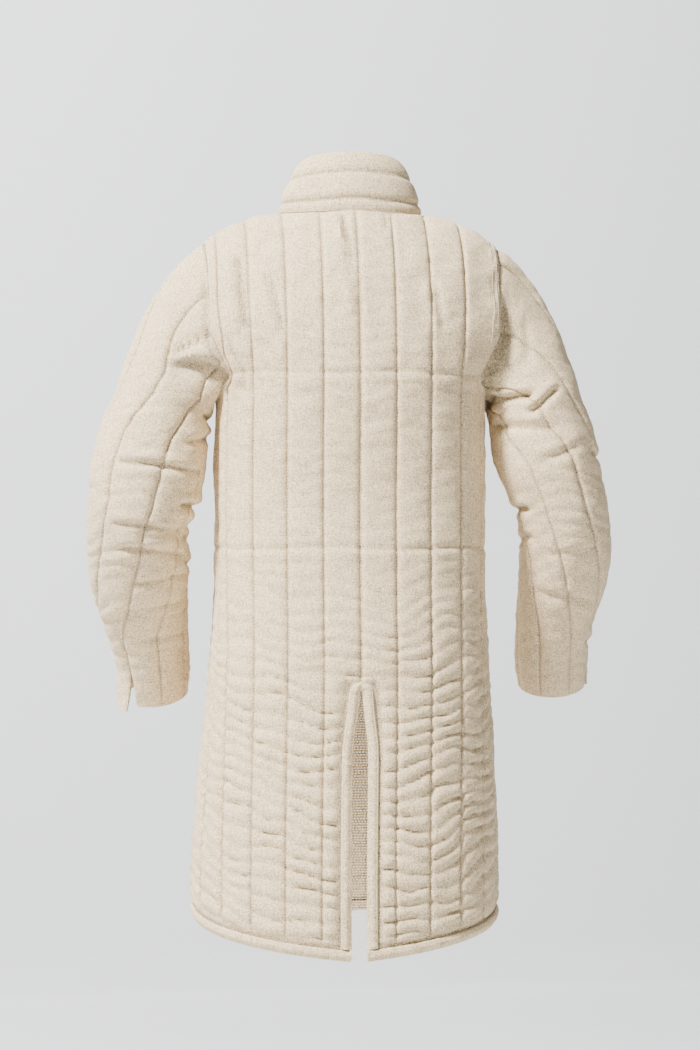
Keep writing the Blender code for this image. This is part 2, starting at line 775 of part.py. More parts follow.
def build_sleeve(side, stations, slit_column, splay, fold):
    outer, centres, hole = sleeve_grids(side, stations, slit_column, splay)
    normals = grid_normals(outer, lambda r: centres[r])
    for r, row in enumerate(outer):
        for c, point in enumerate(row):
            if fold > 0 and normals[r][c].y > 0:
                out = abs(point.x)
                line = blend(FOLD_HIGH, FOLD_LOW, (out - FOLD_START) / FOLD_RUN)
                near = math.exp(-((point.z - line) / FOLD_SIZE) ** 2)
                fade = (ease((out - FOLD_IN) / FOLD_IN_SPAN)
                        * ease((FOLD_OUT - out) / FOLD_OUT_SPAN))
                row[c] = point + normals[r][c] * fold * near * fade
    normals = grid_normals(outer, lambda r: centres[r])
    inner = []
    for r, row in enumerate(outer):
        from_seam = r / CAP_ROWS * SLEEVE_TAPER_SPAN
        to_cuff = (centres[-1] - centres[r]).length
        wall = blend(SEAM_WALL, SLEEVE_WALL, ease(from_seam / TAPER_WIDTH))
        wall = min(wall, blend(CUFF_WALL, SLEEVE_WALL, ease(to_cuff / TAPER_WIDTH)))
        level = []
        for c, point in enumerate(row):
            normal = normals[r][c]
            if r == 0:
                body, tuck = hole[c][1:3]
                normal = body.lerp(normal, tuck).normalized()
            level.append(point - normal * wall)
        if (row[0] - row[-1]).length < 0.00001:
            level[-1] = level[0].copy()
        inner.append(level)
    builder = bmesh.new()
    add_wall(builder, outer, inner)
    drop_inner_walls(builder)
    return builder


def build_gambeson():
    for thing in list(bpy.data.objects):
        bpy.data.objects.remove(thing, do_unlink=True)
    new_object("back", build_back, CANVAS_COLOUR)
    new_object("front_left", lambda: build_front(1), CANVAS_COLOUR)
    new_object("front_right", lambda: build_front(-1), CANVAS_COLOUR)
    new_object("collar", build_collar, CANVAS_COLOUR)
    new_object("sleeve_left", lambda: build_sleeve(1, LEFT_ARM, 2, LEFT_CUFF_SPLAY, FOLD_DEPTH),
               CANVAS_COLOUR)
    new_object("sleeve_right", lambda: build_sleeve(-1, RIGHT_ARM, 1, RIGHT_CUFF_SPLAY, 0.0),
               CANVAS_COLOUR)
    new_object("vent_binding", build_vent_binding, BINDING_COLOUR)
    new_object("hem_binding_left", lambda: build_hem_binding(1), BINDING_COLOUR)
    new_object("hem_binding_right", lambda: build_hem_binding(-1), BINDING_COLOUR)
    new_object("front_binding_left", lambda: build_front_binding(1), BINDING_COLOUR)
    new_object("front_binding_right", lambda: build_front_binding(-1), BINDING_COLOUR)


build_gambeson()
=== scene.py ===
# Quilted gambeson: the cloth, its stitching and its finish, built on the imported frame.
import math
import bmesh
import bpy
import numpy as np
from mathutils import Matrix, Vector


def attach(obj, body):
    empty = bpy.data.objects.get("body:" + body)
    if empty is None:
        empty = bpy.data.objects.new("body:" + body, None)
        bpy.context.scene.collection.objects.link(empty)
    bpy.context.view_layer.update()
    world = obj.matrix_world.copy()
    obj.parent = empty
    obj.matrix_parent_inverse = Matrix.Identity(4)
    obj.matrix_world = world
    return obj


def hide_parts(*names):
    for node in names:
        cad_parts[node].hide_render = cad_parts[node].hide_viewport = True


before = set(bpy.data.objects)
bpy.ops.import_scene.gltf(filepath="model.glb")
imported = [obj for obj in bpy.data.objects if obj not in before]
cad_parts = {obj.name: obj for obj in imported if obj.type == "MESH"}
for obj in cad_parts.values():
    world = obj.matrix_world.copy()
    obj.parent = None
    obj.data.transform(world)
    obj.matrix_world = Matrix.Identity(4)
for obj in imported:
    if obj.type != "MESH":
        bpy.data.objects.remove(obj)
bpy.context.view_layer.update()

# Sizes of the coat, in metres. Angle goes round the body: 0 centre back, 90 side, 180 centre front.
# Level goes up it: -1 hem, 0 underarm, 1 the ridge of the shoulder.
coat = {
    "sections": ((-1.030, 0.213, 0.176, 0.160, 0.0085),   # height, half width, back, front, lean
                 (-0.900, 0.212, 0.167, 0.154, 0.0075),
                 (-0.770, 0.204, 0.153, 0.146, 0.0045),
                 (-0.640, 0.194, 0.138, 0.139, 0.0010),
                 (-0.520, 0.188, 0.122, 0.130, 0.0000),
                 (-0.400, 0.188, 0.116, 0.127, 0.0000),
                 (-0.262, 0.187, 0.124, 0.133, 0.0000)),
    "power": 2.3,
    "underarm": -0.262,
    "hemSide": -0.978,
    "hemBackDrop": 0.042,
    "hemFrontDrop": 0.022,
    "ridge": ((-0.060, 0.0140), (0.000, 0.0300), (0.060, 0.0140), (0.101, -0.0040), (0.140, -0.0125),
              (0.172, -0.0255), (0.210, -0.0500), (0.240, -0.0740)),
    "spread": 0.235,
    "spreadLevel": 0.45,
    "domePower": 2.5,
    "levelEase": 1.6,
    "armholeAngle": 59.0,
    "armholeSweep": 31.0,
    "armholeCorner": 0.045,
    "backScoop": 2.0,
    "frontScoop": 9.0,
    "neckHalfWidth": 0.101,
    "neckBack": 0.064,
    "neckFront": 0.104,
    "ventTop": -0.660,
    "ventRound": 0.0045,
    "ventSpread": 0.095,
    "ventHalfGap": 0.0132,
    "frontHalfGap": 0.0035,
    "frontHemHalfGap": 0.0060,
    "frontSpreadHeight": -0.5,
    "frontSpread": 0.45,
    "bindingWidth": 0.0120,
    "hemBindingWidth": 0.012,
    "wall": 0.0060,
    "seamWall": 0.0022,
    "edgeWall": 0.0040,
    "thinnest": 0.0012,
}

quilting = {
    "channel": 0.050,        # between stitch lines
    "lines": 4,              # full channels beside the centre, each side
    "columns": (0, 0.055, 0.19, 0.39, 0.61, 0.81, 0.945),     # mesh columns in a channel
    "ventColumns": (0, 0.08, 0.20, 0.352, 0.59, 0.80, 0.94),  # in the first one beside the centre back
    "frontColumns": (0, 0.08, 0.18, 0.285, 0.53, 0.78, 0.93), # in the first one beside the front edge
    "sideColumns": (0.09, 0.33, 0.67, 0.91, 1.0),             # in each half of the last, wide one
    "ventRows": 51,
    "chestRows": 57,
    "shoulderRows": 43,
    "lastLineTop": 0.150,    # half width of the last full lines at the shoulder seam
    "sideLineTop": 0.191,    # and of the line nearest the armhole
    "straighten": 0.6,
    "armholeRoom": 1.3,      # degrees between that line and the armhole
    "boundColumns": 3,       # mesh columns and rows that lie under the bindings
    "boundRows": 2,
    "sunk": 0.0030,          # stitch lines below the panel's face
    "pressed": 0.0018,       # under the bindings
    "seamed": 0.0012,        # deeper still along a binding's stitched edge
    "topDip": 0.0008,        # at the neck and shoulder seams
    "armholeDip": 0.0020,
    "deepest": 0.0034,       # as far as the cloth may dip between the lines
    "uneven": 0.0003,
    "puff": 0.0035,
    "growthHigh": 0.016,     # spare cloth between the lines, chest
    "growthLow": 0.045,      # spare cloth, skirt
    "pressure": 0.6,
    "crease": 0.75,          # how sharp the stitch lines stay when the mesh is made finer
}


def blend(a, b, amount):
    return a + (b - a) * amount


def ease(amount):
    amount = np.clip(amount, 0.0, 1.0)
    return amount * amount * (3.0 - 2.0 * amount)


def signedPower(value, power):
    return np.sign(value) * np.abs(value) ** power


def unit(vectors):
    return vectors / np.maximum(np.linalg.norm(vectors, axis=-1, keepdims=True), 1e-12)


def smoothRows(rows, place):
    # a smooth curve through the rows of a table, whose first column is the place
    table = np.array(rows, dtype=float)
    last = len(table) - 1
    place = np.clip(np.atleast_1d(np.asarray(place, dtype=float)), table[0, 0], table[-1, 0])
    i = np.clip(np.searchsorted(table[:, 0], place, side="left") - 1, 0, last - 1)
    before, start = table[np.maximum(i - 1, 0)], table[i]
    end, after = table[i + 1], table[np.minimum(i + 2, last)]
    step = (end[:, 0] - start[:, 0])[:, None]
    t = (place - start[:, 0])[:, None] / step
    slopeStart = (end - before)[:, 1:] / (end[:, 0] - before[:, 0])[:, None] * step
    slopeEnd = (after - start)[:, 1:] / (after[:, 0] - start[:, 0])[:, None] * step
    rise = (end - start)[:, 1:]
    return (start[:, 1:] + t * slopeStart + t ** 2 * (3 * rise - 2 * slopeStart - slopeEnd)
            + t ** 3 * (slopeStart + slopeEnd - 2 * rise))


def hemHeight(angle):
    turn = np.abs(angle)
    back = coat["hemSide"] - coat["hemBackDrop"] * (1 - turn / 90)
    front = coat["hemSide"] - coat["hemFrontDrop"] * (1 - (180 - turn) / 90)
    return np.where(turn <= 90, back, front)


def domeRise(level):
    turn = np.radians(90 * np.clip(level, 0, 1) ** coat["levelEase"])
    return np.sin(turn) ** (2 / coat["domePower"]), np.cos(turn)


def ringPoint(angle, halfWidth, depth):
    turn = np.radians(angle)
    power = 2 / coat["power"]
    return halfWidth * signedPower(np.sin(turn), power), depth * signedPower(np.cos(turn), power)


def bodyPoint(angle, level):
    angle, level = np.broadcast_arrays(np.asarray(angle, float), np.asarray(level, float))
    shape = angle.shape
    angle, level = angle.ravel(), level.ravel()
    over = level > 1
    angle = np.where(over, 180 - angle, angle)
    level = np.where(over, 2 - level, level)
    facingBack = np.cos(np.radians(angle)) >= 0
    height = blend(hemHeight(angle), coat["underarm"], 1 + np.minimum(level, 0))
    halfWidth, back, front, lean = smoothRows(coat["sections"], height).T
    rise, depthLeft = domeRise(level)
    halfWidth = blend(halfWidth, coat["spread"], ease(rise / coat["spreadLevel"]) * (level > 0))
    x, y = ringPoint(angle, halfWidth, np.where(facingBack, back, front))
    x = x + lean
    y = y * np.where(level > 0, depthLeft, 1.0)
    ridge = smoothRows(coat["ridge"], np.abs(x))[:, 0]
    z = np.where(level > 0, blend(coat["underarm"], ridge, rise), height)
    return np.stack((x, y, z), axis=-1).reshape(shape + (3,))


def bodyNormal(angle, level):
    across = bodyPoint(angle + 0.6, level) - bodyPoint(angle - 0.6, level)
    up = bodyPoint(angle, level + 0.01) - bodyPoint(angle, level - 0.01)
    normal = unit(np.cross(across, up))
    point = bodyPoint(angle, level)
    facing = normal[..., 0] * point[..., 0] + normal[..., 1] * point[..., 1] + normal[..., 2] * 0.02
    return normal * np.where(facing < 0, -1.0, 1.0)[..., None]


def armholeTurn(level, centre):
    rise = domeRise(level)[0]
    scoop = coat["backScoop"] if centre == 0 else coat["frontScoop"]
    turn = coat["armholeAngle"] + coat["armholeSweep"] * np.exp(-rise / coat["armholeCorner"])
    return turn - scoop * 4 * rise * (1 - rise)


def slitHalfGap(height, centre):
    if centre != 0:
        parted = ease((coat["frontSpreadHeight"] - height) / coat["frontSpread"])
        return blend(coat["frontHalfGap"], coat["frontHemHalfGap"], parted)
    below = np.maximum(coat["ventTop"] - height, 0.0)
    left = np.maximum(coat["ventRound"] - below, 0.0)
    arch = np.sqrt(coat["ventRound"] ** 2 - left ** 2)
    gap = arch + (coat["ventHalfGap"] - coat["ventRound"]) * ease(below / coat["ventSpread"])
    return np.where(below > 1e-6, gap, 0.0)


def neckLevel(x, centre):
    # how far up the panel reaches at a distance from the centre: the neck seam, then the ridge
    x = np.minimum(np.abs(x), coat["neckHalfWidth"])
    reach = coat["neckBack"] if centre == 0 else coat["neckFront"]
    depth = coat["sections"][-1][2 if centre == 0 else 3]
    depth = depth * (1 - (x / coat["spread"]) ** coat["power"]) ** (1 / coat["power"])
    across = np.sqrt(np.maximum(1 - (x / coat["neckHalfWidth"]) ** 2, 0))
    turn = np.degrees(np.arccos(np.clip(reach * across / depth, 0, 1)))
    return (turn / 90) ** (1 / coat["levelEase"])


def columnLengths(centre):
    # where the columns are, in channels from the centre, then in halves of the last one
    first = quilting["ventColumns"] if centre == 0 else quilting["frontColumns"]
    inner = [i + share for i in range(quilting["lines"]) for share in (quilting["columns"] if i else first)]
    side = [i + share for i in range(2) for share in quilting["sideColumns"]]
    return np.array(inner + [quilting["lines"]]), np.array(side)


def panelPlaces(centre):
    # angle, level and distance across of every grid point of half a panel
    inner, side = columnLengths(centre)
    sweep = np.linspace(0, 90, 91)
    low = coat["hemSide"] - (coat["hemBackDrop"] if centre == 0 else coat["hemFrontDrop"])
    ventShare = (coat["ventTop"] - low) / (coat["underarm"] - low)
    shares = np.concatenate((np.linspace(0, ventShare, quilting["ventRows"] + 1),
                             np.linspace(ventShare, 1, quilting["chestRows"] + 1)[1:]))
    count = len(inner) + len(side)
    angles, levels, across = [], [], []
    direction = 1 if centre == 0 else -1
    for share in shares:
        points = bodyPoint(centre + direction * sweep, share - 1 - 1e-9)
        lengths = np.concatenate(([0], np.cumsum(np.linalg.norm(np.diff(points, axis=0), axis=1))))
        gap = float(slitHalfGap(points[0, 2], centre))
        wanted = inner * quilting["channel"]
        first = wanted <= quilting["channel"]
        wanted = np.where(first, blend(gap, quilting["channel"], wanted / quilting["channel"]), wanted)
        rest = blend(wanted[-1], lengths[-1], side / 2)
        wanted = np.concatenate((wanted, rest))
        angles.append(np.interp(wanted, lengths, sweep))
        levels.append(np.full(count, share - 1))
        across.append(wanted)
    lowX = bodyPoint(angles[-1], -1e-9)[:, 0]
    lastTop, reach = quilting["lastLineTop"], quilting["sideLineTop"]
    topX = np.minimum(inner * quilting["channel"], lastTop)
    lastLine = (quilting["lines"] - 1) * len(quilting["columns"])
    edgeX = coat["spread"] * math.sin(math.radians(coat["armholeAngle"])) ** (2 / coat["power"])
    part = inner - (quilting["lines"] - 1)
    topX = np.where(part > 0, blend(lastTop, reach, part), topX)
    allTopX = np.concatenate((topX, blend(reach, edgeX, side / 2)))
    topLevel = neckLevel(allTopX, centre)
    for step in np.arange(1, quilting["shoulderRows"] + 1) / quilting["shoulderRows"]:
        level = step * topLevel
        rise = domeRise(level)[0]
        halfWidth = blend(coat["sections"][-1][1], coat["spread"], ease(rise / coat["spreadLevel"]))
        x = blend(lowX[:len(inner)], topX, ease(rise[:len(inner)] / quilting["straighten"]))
        turn = np.degrees(np.arcsin(np.clip(x / halfWidth[:len(inner)], 0, 1) ** (coat["power"] / 2)))
        edge = armholeTurn(level, centre)
        lastTurn = min(turn[-1], edge[len(inner) - 1] - quilting["armholeRoom"])
        before = turn[lastLine]
        turn = np.where(part > 0, blend(before, lastTurn, np.clip(part, 0, 1)), turn)
        gap = coat["frontHalfGap"] if centre != 0 else 0.0
        nearTurn = np.degrees(np.arcsin((gap / halfWidth[0]) ** (coat["power"] / 2)))
        turn = np.maximum(turn, nearTurn)
        sideTurn = blend(lastTurn, edge[len(inner):], side / 2)
        angles.append(np.concatenate((turn, sideTurn)))
        levels.append(level)
        across.append(across[-1])
    return np.array(angles), np.array(levels), np.array(across)


def gridObject(name, columns, rows, slitRows=0):
    # a flat grid; with slitRows the middle column is cut open below that row
    mesh = bmesh.new()
    bmesh.ops.create_grid(mesh, x_segments=columns, y_segments=rows, size=1.0)
    if slitRows:
        top = -1 + 2 * slitRows / rows - 1e-4
        cut = [edge for edge in mesh.edges
               if all(abs(v.co.x) < 1e-6 for v in edge.verts) and min(v.co.y for v in edge.verts) < top]
        bmesh.ops.split_edges(mesh, edges=cut)
    places = mesh.verts.layers.float_vector.new("grid")
    for vert in mesh.verts:
        column = (vert.co.x + 1) / 2 * columns
        row = (vert.co.y + 1) / 2 * rows
        side = 1.0
        if vert.link_faces:
            side = 1.0 if sum(f.calc_center_median().x for f in vert.link_faces) >= -1e-9 else -1.0
        vert[places] = (column, row, side)
    data = bpy.data.meshes.new(name)
    mesh.to_mesh(data)
    mesh.free()
    thing = bpy.data.objects.new(name, data)
    bpy.context.collection.objects.link(thing)
    return thing


def readVectors(data, name):
    values = np.empty(len(data.vertices) * 3)
    data.attributes[name].data.foreach_get("vector", values)
    return values.reshape(-1, 3)


def writeVectors(data, name, values):
    layer = data.attributes.get(name) or data.attributes.new(name, "FLOAT_VECTOR", "POINT")
    layer.data.foreach_set("vector", np.ascontiguousarray(values, dtype=np.float32).ravel())


def readPoints(data):
    values = np.empty(len(data.vertices) * 3)
    data.vertices.foreach_get("co", values)
    return values.reshape(-1, 3)


def writePoints(data, points):
    data.vertices.foreach_set("co", np.ascontiguousarray(points, dtype=np.float32).ravel())
    data.update()


def gridPlaces(thing):
    # the column and row that each point was made at
    grid = np.rint(readVectors(thing.data, "grid")).astype(int)
    return grid[:, 0], grid[:, 1]


def writeNotes(thing, rest, normals, wall, tone, along):
    # what later steps need to know about each point
    writeVectors(thing.data, "rest", rest)
    writeVectors(thing.data, "normal", normals)
    # the tone, the second fact, marks where the material paints shade
    writeVectors(thing.data, "facts", np.stack((wall, tone, along), axis=1))


def readNotes(thing):
    data = thing.data
    return (readPoints(data), readVectors(data, "rest"), unit(readVectors(data, "normal")),
            readVectors(data, "facts"))


def setGroup(thing, name, weights):
    group = thing.vertex_groups.new(name=name)
    for index in np.nonzero(weights > 0.001)[0]:
        group.add([int(index)], float(weights[index]), "REPLACE")


def waveNoise(points, size, seed):
    # soft, repeatable unevenness from a few crossing waves, about -1 to 1
    rng = np.random.default_rng(seed)
    total = np.zeros(len(points))
    for i in range(9):
        way = rng.normal(size=points.shape[1])
        way = way / np.linalg.norm(way) * rng.uniform(0.6, 1.5)
        total += np.sin(points @ way * (2 * math.pi / size) + rng.uniform(0, 2 * math.pi))
    return total / 3.2


clothSettings = {
    "quality": 6,
    "mass": 0.12,
    "tension_stiffness": 18,
    "compression_stiffness": 18,
    "shear_stiffness": 8,
    "bending_stiffness": 0.35,
    "tension_damping": 8,
    "compression_damping": 8,
    "air_damping": 3,
    "vertex_group_mass": "held",
    "vertex_group_shrink": "spare",
    "shrink_min": 0.0,
    "shrink_max": -quilting["growthLow"],
    "use_pressure": True,
}
settling = {
    "frames": 14,
    "furthest": 0.011,       # as far as the cloth may move
}


def puffCloth(thing, rest, normals, pinned, lift, growth, pressure):
    # Blender's cloth fills each channel: the stitched points are held and the cloth between grows
    start = rest + normals * lift[:, None]
    writePoints(thing.data, start)
    setGroup(thing, "held", pinned.astype(float))
    setGroup(thing, "spare", growth / quilting["growthLow"])
    modifier = thing.modifiers.new("Cloth", "CLOTH")
    cloth = modifier.settings
    for key, value in clothSettings.items():
        setattr(cloth, key, value)
    cloth.uniform_pressure_force = pressure
    cloth.effector_weights.gravity = 0.0
    modifier.collision_settings.use_collision = False
    modifier.point_cache.frame_start = 1
    modifier.point_cache.frame_end = settling["frames"]
    scene = bpy.context.scene
    for number in range(1, settling["frames"] + 1):
        scene.frame_set(number)
    shaped = thing.evaluated_get(bpy.context.evaluated_depsgraph_get())
    points = readPoints(shaped.data)
    thing.modifiers.remove(modifier)
    scene.frame_set(1)
    shift = points - rest
    length = np.linalg.norm(shift, axis=1, keepdims=True)
    shift = shift * np.minimum(1.0, settling["furthest"] / np.maximum(length, 1e-9))
    return np.where(pinned[:, None], start, rest + shift)


def fillOut(thing, rest, normals, pinned, lift, growth, pressure, deepest):
    # the cloth may dip between the lines, but never through the padding
    shaped = puffCloth(thing, rest, normals, pinned, lift, growth, pressure)
    inward = ((shaped - rest) * normals).sum(axis=1)
    writePoints(thing.data, shaped + normals * (np.maximum(inward, -deepest) - inward)[:, None])


def uneven(pinned, seed):
    # the small unevenness of the filling, which the cloth simulation starts from
    size = np.random.default_rng(seed).normal(size=len(pinned)) * quilting["uneven"]
    return np.where(pinned, 0.0, size)


def finer(thing, creased=None):
    # one level of subdivision, with the stitch lines kept as grooves
    if creased is not None:
        mesh = bmesh.new()
        mesh.from_mesh(thing.data)
        crease = mesh.edges.layers.float.new("crease_edge")
        mesh.verts.ensure_lookup_table()
        for edge in mesh.edges:
            a, b = (v.index for v in edge.verts)
            if creased[a] > 0 and creased[a] == creased[b]:
                edge[crease] = quilting["crease"]
        mesh.to_mesh(thing.data)
        mesh.free()
    subdivision = thing.modifiers.new("Subdivision", "SUBSURF")
    subdivision.levels = 1
    subdivision.render_levels = 1
    shaped = thing.evaluated_get(bpy.context.evaluated_depsgraph_get())
    data = bpy.data.meshes.new_from_object(shaped)
    thing.modifiers.remove(subdivision)
    old = thing.data
    thing.data = data
    bpy.data.meshes.remove(old)
    return thing


def wallBehind(thing, inner):
    # closes the sheet into a padded wall, with its back face at the inner points
    mesh = bmesh.new()
    mesh.from_mesh(thing.data)
    number = mesh.verts.layers.int.new("number")
    for vert in mesh.verts:
        vert[number] = vert.index
    made = bmesh.ops.extrude_face_region(mesh, geom=mesh.faces[:], use_keep_orig=True)
    for part in made["geom"]:
        if isinstance(part, bmesh.types.BMVert):
            part.co = inner[part[number]]
    bmesh.ops.recalc_face_normals(mesh, faces=mesh.faces)
    mesh.to_mesh(thing.data)
    mesh.free()
    thing.data.shade_smooth()
    thing.data.set_sharp_from_angle(angle=math.radians(60))
    return thing


def panelSheet(name, centre, side):
    # side 0 is the whole back; a front has one side only
    angles, levels, across = panelPlaces(centre)
    rows, count = angles.shape
    columns = count - 1
    whole = side == 0
    slit = quilting["ventRows"] if whole else 0
    thing = gridObject(name, columns * (2 if whole else 1), rows - 1, slit)
    column, row = gridPlaces(thing)
    if whole:
        besideSlit = readVectors(thing.data, "grid")[:, 2]
        beside = np.where(column == columns, besideSlit, np.sign(column - columns))
        column = np.abs(column - columns)
    else:
        beside = np.full(len(column), float(side))
    turn = angles[row, column]
    angle = (turn if centre == 0 else 180 - turn) * beside
    level = levels[row, column]
    rest = bodyPoint(angle, level)
    normals = bodyNormal(angle, level)
    length = np.linalg.norm(np.diff(bodyPoint(np.zeros(rows) + centre, levels[:, 0]), axis=0), axis=1)
    along = np.concatenate(([0], np.cumsum(length)))[row]
    return thing, rest, normals, column, row, beside, across[row, column], along, rows, columns


def panelForm(name, centre, side, creases):
    place = panelSheet(name, centre, side)
    thing, rest, normals, column, row, beside, across, along, rows, columns = place
    channel = len(quilting["columns"])
    last = quilting["lines"] * channel
    underarmRow = quilting["ventRows"] + quilting["chestRows"]
    line = (column % channel == 0) & (column <= last)
    line |= (column == last + len(quilting["sideColumns"])) & (row <= underarmRow)
    slitRows = quilting["ventRows"] + 1 if centre == 0 else rows
    if centre != 0:
        line &= column > 0
    if beside.min() < 0:
        # on the right the last full line runs into the armhole seam
        line &= ~((column == last) & (beside < 0) & (row > underarmRow - 2))
    bound = (row <= slitRows) | (centre != 0)
    boundColumn, boundRow = quilting["boundColumns"], quilting["boundRows"]
    underBinding = (column <= boundColumn) & bound
    edge = (row <= boundRow) | (row >= rows - 1) | (column == columns)
    pinned = line | edge | underBinding
    fromEnds = np.minimum(np.maximum(row - boundRow, 0) / 2.0, (rows - 1 - row) / 2.0)
    fromEdge = np.minimum(fromEnds, (columns - column) / 2.0)
    groove = quilting["sunk"] * (0.35 + 0.65 * ease(fromEdge))
    lift = np.where(line, -groove, 0.0)
    lift = np.where(row == rows - 1, -quilting["topDip"], lift)
    lift = np.where((column == columns) & (row < rows - 1), -quilting["armholeDip"], lift)
    lift = np.where(underBinding | (row <= boundRow), -quilting["pressed"], lift)
    beneath = ((column == boundColumn) & bound) | (row == boundRow)
    lift = np.where(beneath, -quilting["pressed"] - quilting["seamed"], lift)
    inner, sides = columnLengths(centre)
    inChannel = (np.concatenate((inner, sides)) % 1.0)[column]
    wide = (np.concatenate((inner, sides / 2)) % 1.0)[column]
    inChannel = np.where((row > underarmRow) & (column > last), wide, inChannel)
    lastWide = (column - (last - channel)) / (columns - (last - channel))
    toSeam = (row > underarmRow - 1) & (beside < 0) & (lastWide > 0)
    inChannel = np.where(toSeam, np.clip(lastWide, 0, 1), inChannel)
    swell = np.sin(math.pi * inChannel) ** 0.45 * ease(fromEdge)
    seed = {0: 11, 1: 12, -1: 13}[side]
    rough = waveNoise(rest, 0.05, seed)
    lift = lift + np.where(pinned, 0.0, swell * quilting["puff"] * (0.75 + 0.25 * rough))
    low = ease((-0.42 - rest[:, 2]) / 0.25)
    growth = blend(quilting["growthHigh"], quilting["growthLow"], low)
    growth = growth * (1 + 0.25 * waveNoise(rest, 0.16, seed + 5))
    lift = lift + uneven(pinned, seed)
    fillOut(thing, rest, normals, pinned, lift, growth, quilting["pressure"], quilting["deepest"])
    wall = blend(coat["seamWall"], coat["wall"], ease(fromEdge))
    wall = np.maximum(wall, coat["edgeWall"] * (row <= boundRow))
    # painted shade: the tone marks stitch lines, binding seams, the armhole edge and the top seam, whose
    # colour is darkened; it also thins the wall there
    tone = np.where(line | beneath | (column == columns) | (row == rows - 1), 1.0, 0.0)
    writeNotes(thing, rest, normals, wall, tone, along)
    free = np.where(underBinding, 0.0, np.minimum(fromEdge, 1.0))
    writeVectors(thing.data, "where", np.stack((beside * across, along, free), axis=1))
    layUvs(thing, beside * across, along)
    # lines with the same number are one crease
    creased = np.where(line | ((column == boundColumn) & bound), column + 1 + (beside > 0) * 1000, 0)
    finer(thing, np.where(row == boundRow, 5000, creased))
    panelPuckers(thing, seed + 20, creases)
    return thing


def layUvs(thing, across, along):
    data = thing.data
    layer = data.uv_layers.new(name="weave")
    corners = np.empty(len(data.loops), dtype=np.int32)
    data.loops.foreach_get("vertex_index", corners)
    values = np.stack((across[corners], along[corners]), axis=1).astype(np.float32)
    layer.data.foreach_set("uv", values.ravel())


pucker = {
    "length": 0.0205,        # from crease to crease
    "shortLength": 0.0105,
    "depthLow": 0.0056,     # in the skirt
    "depthHigh": 0.0009,    # across the shoulders
    "shortDepth": 0.0013,
    "reach": 0.008,         # how far the short ones run from a stitch line
    "slant": 0.9,
    "shadeDepth": 0.0024,   # creases this deep get the full painted shade
    "foldShadeDepth": 0.0035,
}


def crumple(x, z, seed, amount, nearLine, slant):
    # creases that run across the channels, rounded between and sharp in the fold
    flat = np.stack((x, z), axis=1)
    wander = 0.36 * waveNoise(flat, 0.15, seed) + 0.11 * waveNoise(flat, 0.05, seed + 1)
    turns = (z - slant * x * x) / pucker["length"] + wander
    fold = np.abs(np.cos(math.pi * turns)) ** 0.6 - 0.68
    patches = waveNoise(flat * np.array((0.8, 1.0)), 0.085, seed + 2)
    mask = np.clip(0.95 + 0.40 * patches, 0.60, 1.30)
    short = np.abs(np.cos(math.pi * (turns * pucker["length"] / pucker["shortLength"]
                                     + 0.35 * waveNoise(flat, 0.03, seed + 3)))) ** 0.8 - 0.6
    shortMask = np.clip(0.5 + 0.7 * waveNoise(flat, 0.05, seed + 4), 0.1, 1.2)
    shortAmount = pucker["shortDepth"] * (0.4 + amount / pucker["depthLow"])
    return amount * fold * mask + shortAmount * short * shortMask * nearLine


def lineDistance(across, spacing):
    return np.abs((across / spacing + 0.5) % 1.0 - 0.5) * spacing


def addPaintedShade(thing, amount):
    # painted shade: deep folds get their colour darkened, as the stitch lines do
    facts = readVectors(thing.data, "facts")
    facts[:, 1] = np.maximum(facts[:, 1], np.clip(amount, 0, 1))
    writeVectors(thing.data, "facts", facts)


def panelPuckers(thing, seed, creases):
    points, rest, normals, facts = readNotes(thing)
    sides = readVectors(thing.data, "where")
    across, edge = sides[:, 0], sides[:, 2]
    low = ease((-0.44 - rest[:, 2]) / 0.30)
    outer = 1.0 - 0.15 * ease((np.abs(across) - 0.12) / 0.10)
    amount = blend(pucker["depthHigh"], pucker["depthLow"], low) * outer
    near = np.exp(-lineDistance(across, quilting["channel"]) / pucker["reach"])
    shift = crumple(across, rest[:, 2], seed, amount, near, pucker["slant"])
    held = 1 - 0.55 * facts[:, 1]
    keep = ease(edge)
    folds = creases(across, rest[:, 2])
    writePoints(thing.data, points + normals * ((shift * held + folds) * keep)[:, None])
    # painted shade: colour darkened in the deeper pucker creases and in the folds
    addPaintedShade(thing, (-shift / pucker["shadeDepth"] - 0.25) * 0.95 * keep)
    addPaintedShade(thing, -folds / pucker["foldShadeDepth"] * keep)


def evened(mesh, points, rounds):
    # each point moves half way to the middle of its neighbours; open edges stay
    ends = np.zeros(len(mesh.edges) * 2, dtype=int)
    mesh.edges.foreach_get("vertices", ends)
    ends = ends.reshape(-1, 2)
    used = np.zeros(len(mesh.loops), dtype=int)
    mesh.loops.foreach_get("edge_index", used)
    atBorder = np.bincount(used, minlength=len(ends)) < 2
    free = np.ones(len(points), dtype=bool)
    free[ends[atBorder].ravel()] = False
    count = np.bincount(ends.ravel(), minlength=len(points))
    for step in range(rounds):
        total = np.zeros_like(points)
        for axis in range(3):
            total[:, axis] = np.bincount(ends[:, 0], points[ends[:, 1], axis], len(points))
            total[:, axis] += np.bincount(ends[:, 1], points[ends[:, 0], axis], len(points))
        middle = total / count[:, None]
        points = np.where(free[:, None], (points + middle) / 2, points)
    return points


def closeWall(thing):
    # the back of the padding, from the notes kept on every point
    points, rest, normals, facts = readNotes(thing)
    inner = rest - normals * (facts[:, 0] - coat["thinnest"] * facts[:, 1])[:, None]
    thin = ((points - inner) * normals).sum(axis=1)
    inner = inner - normals * np.maximum(coat["thinnest"] - thin, 0)[:, None]
    wallBehind(thing, evened(thing.data, inner, 4))


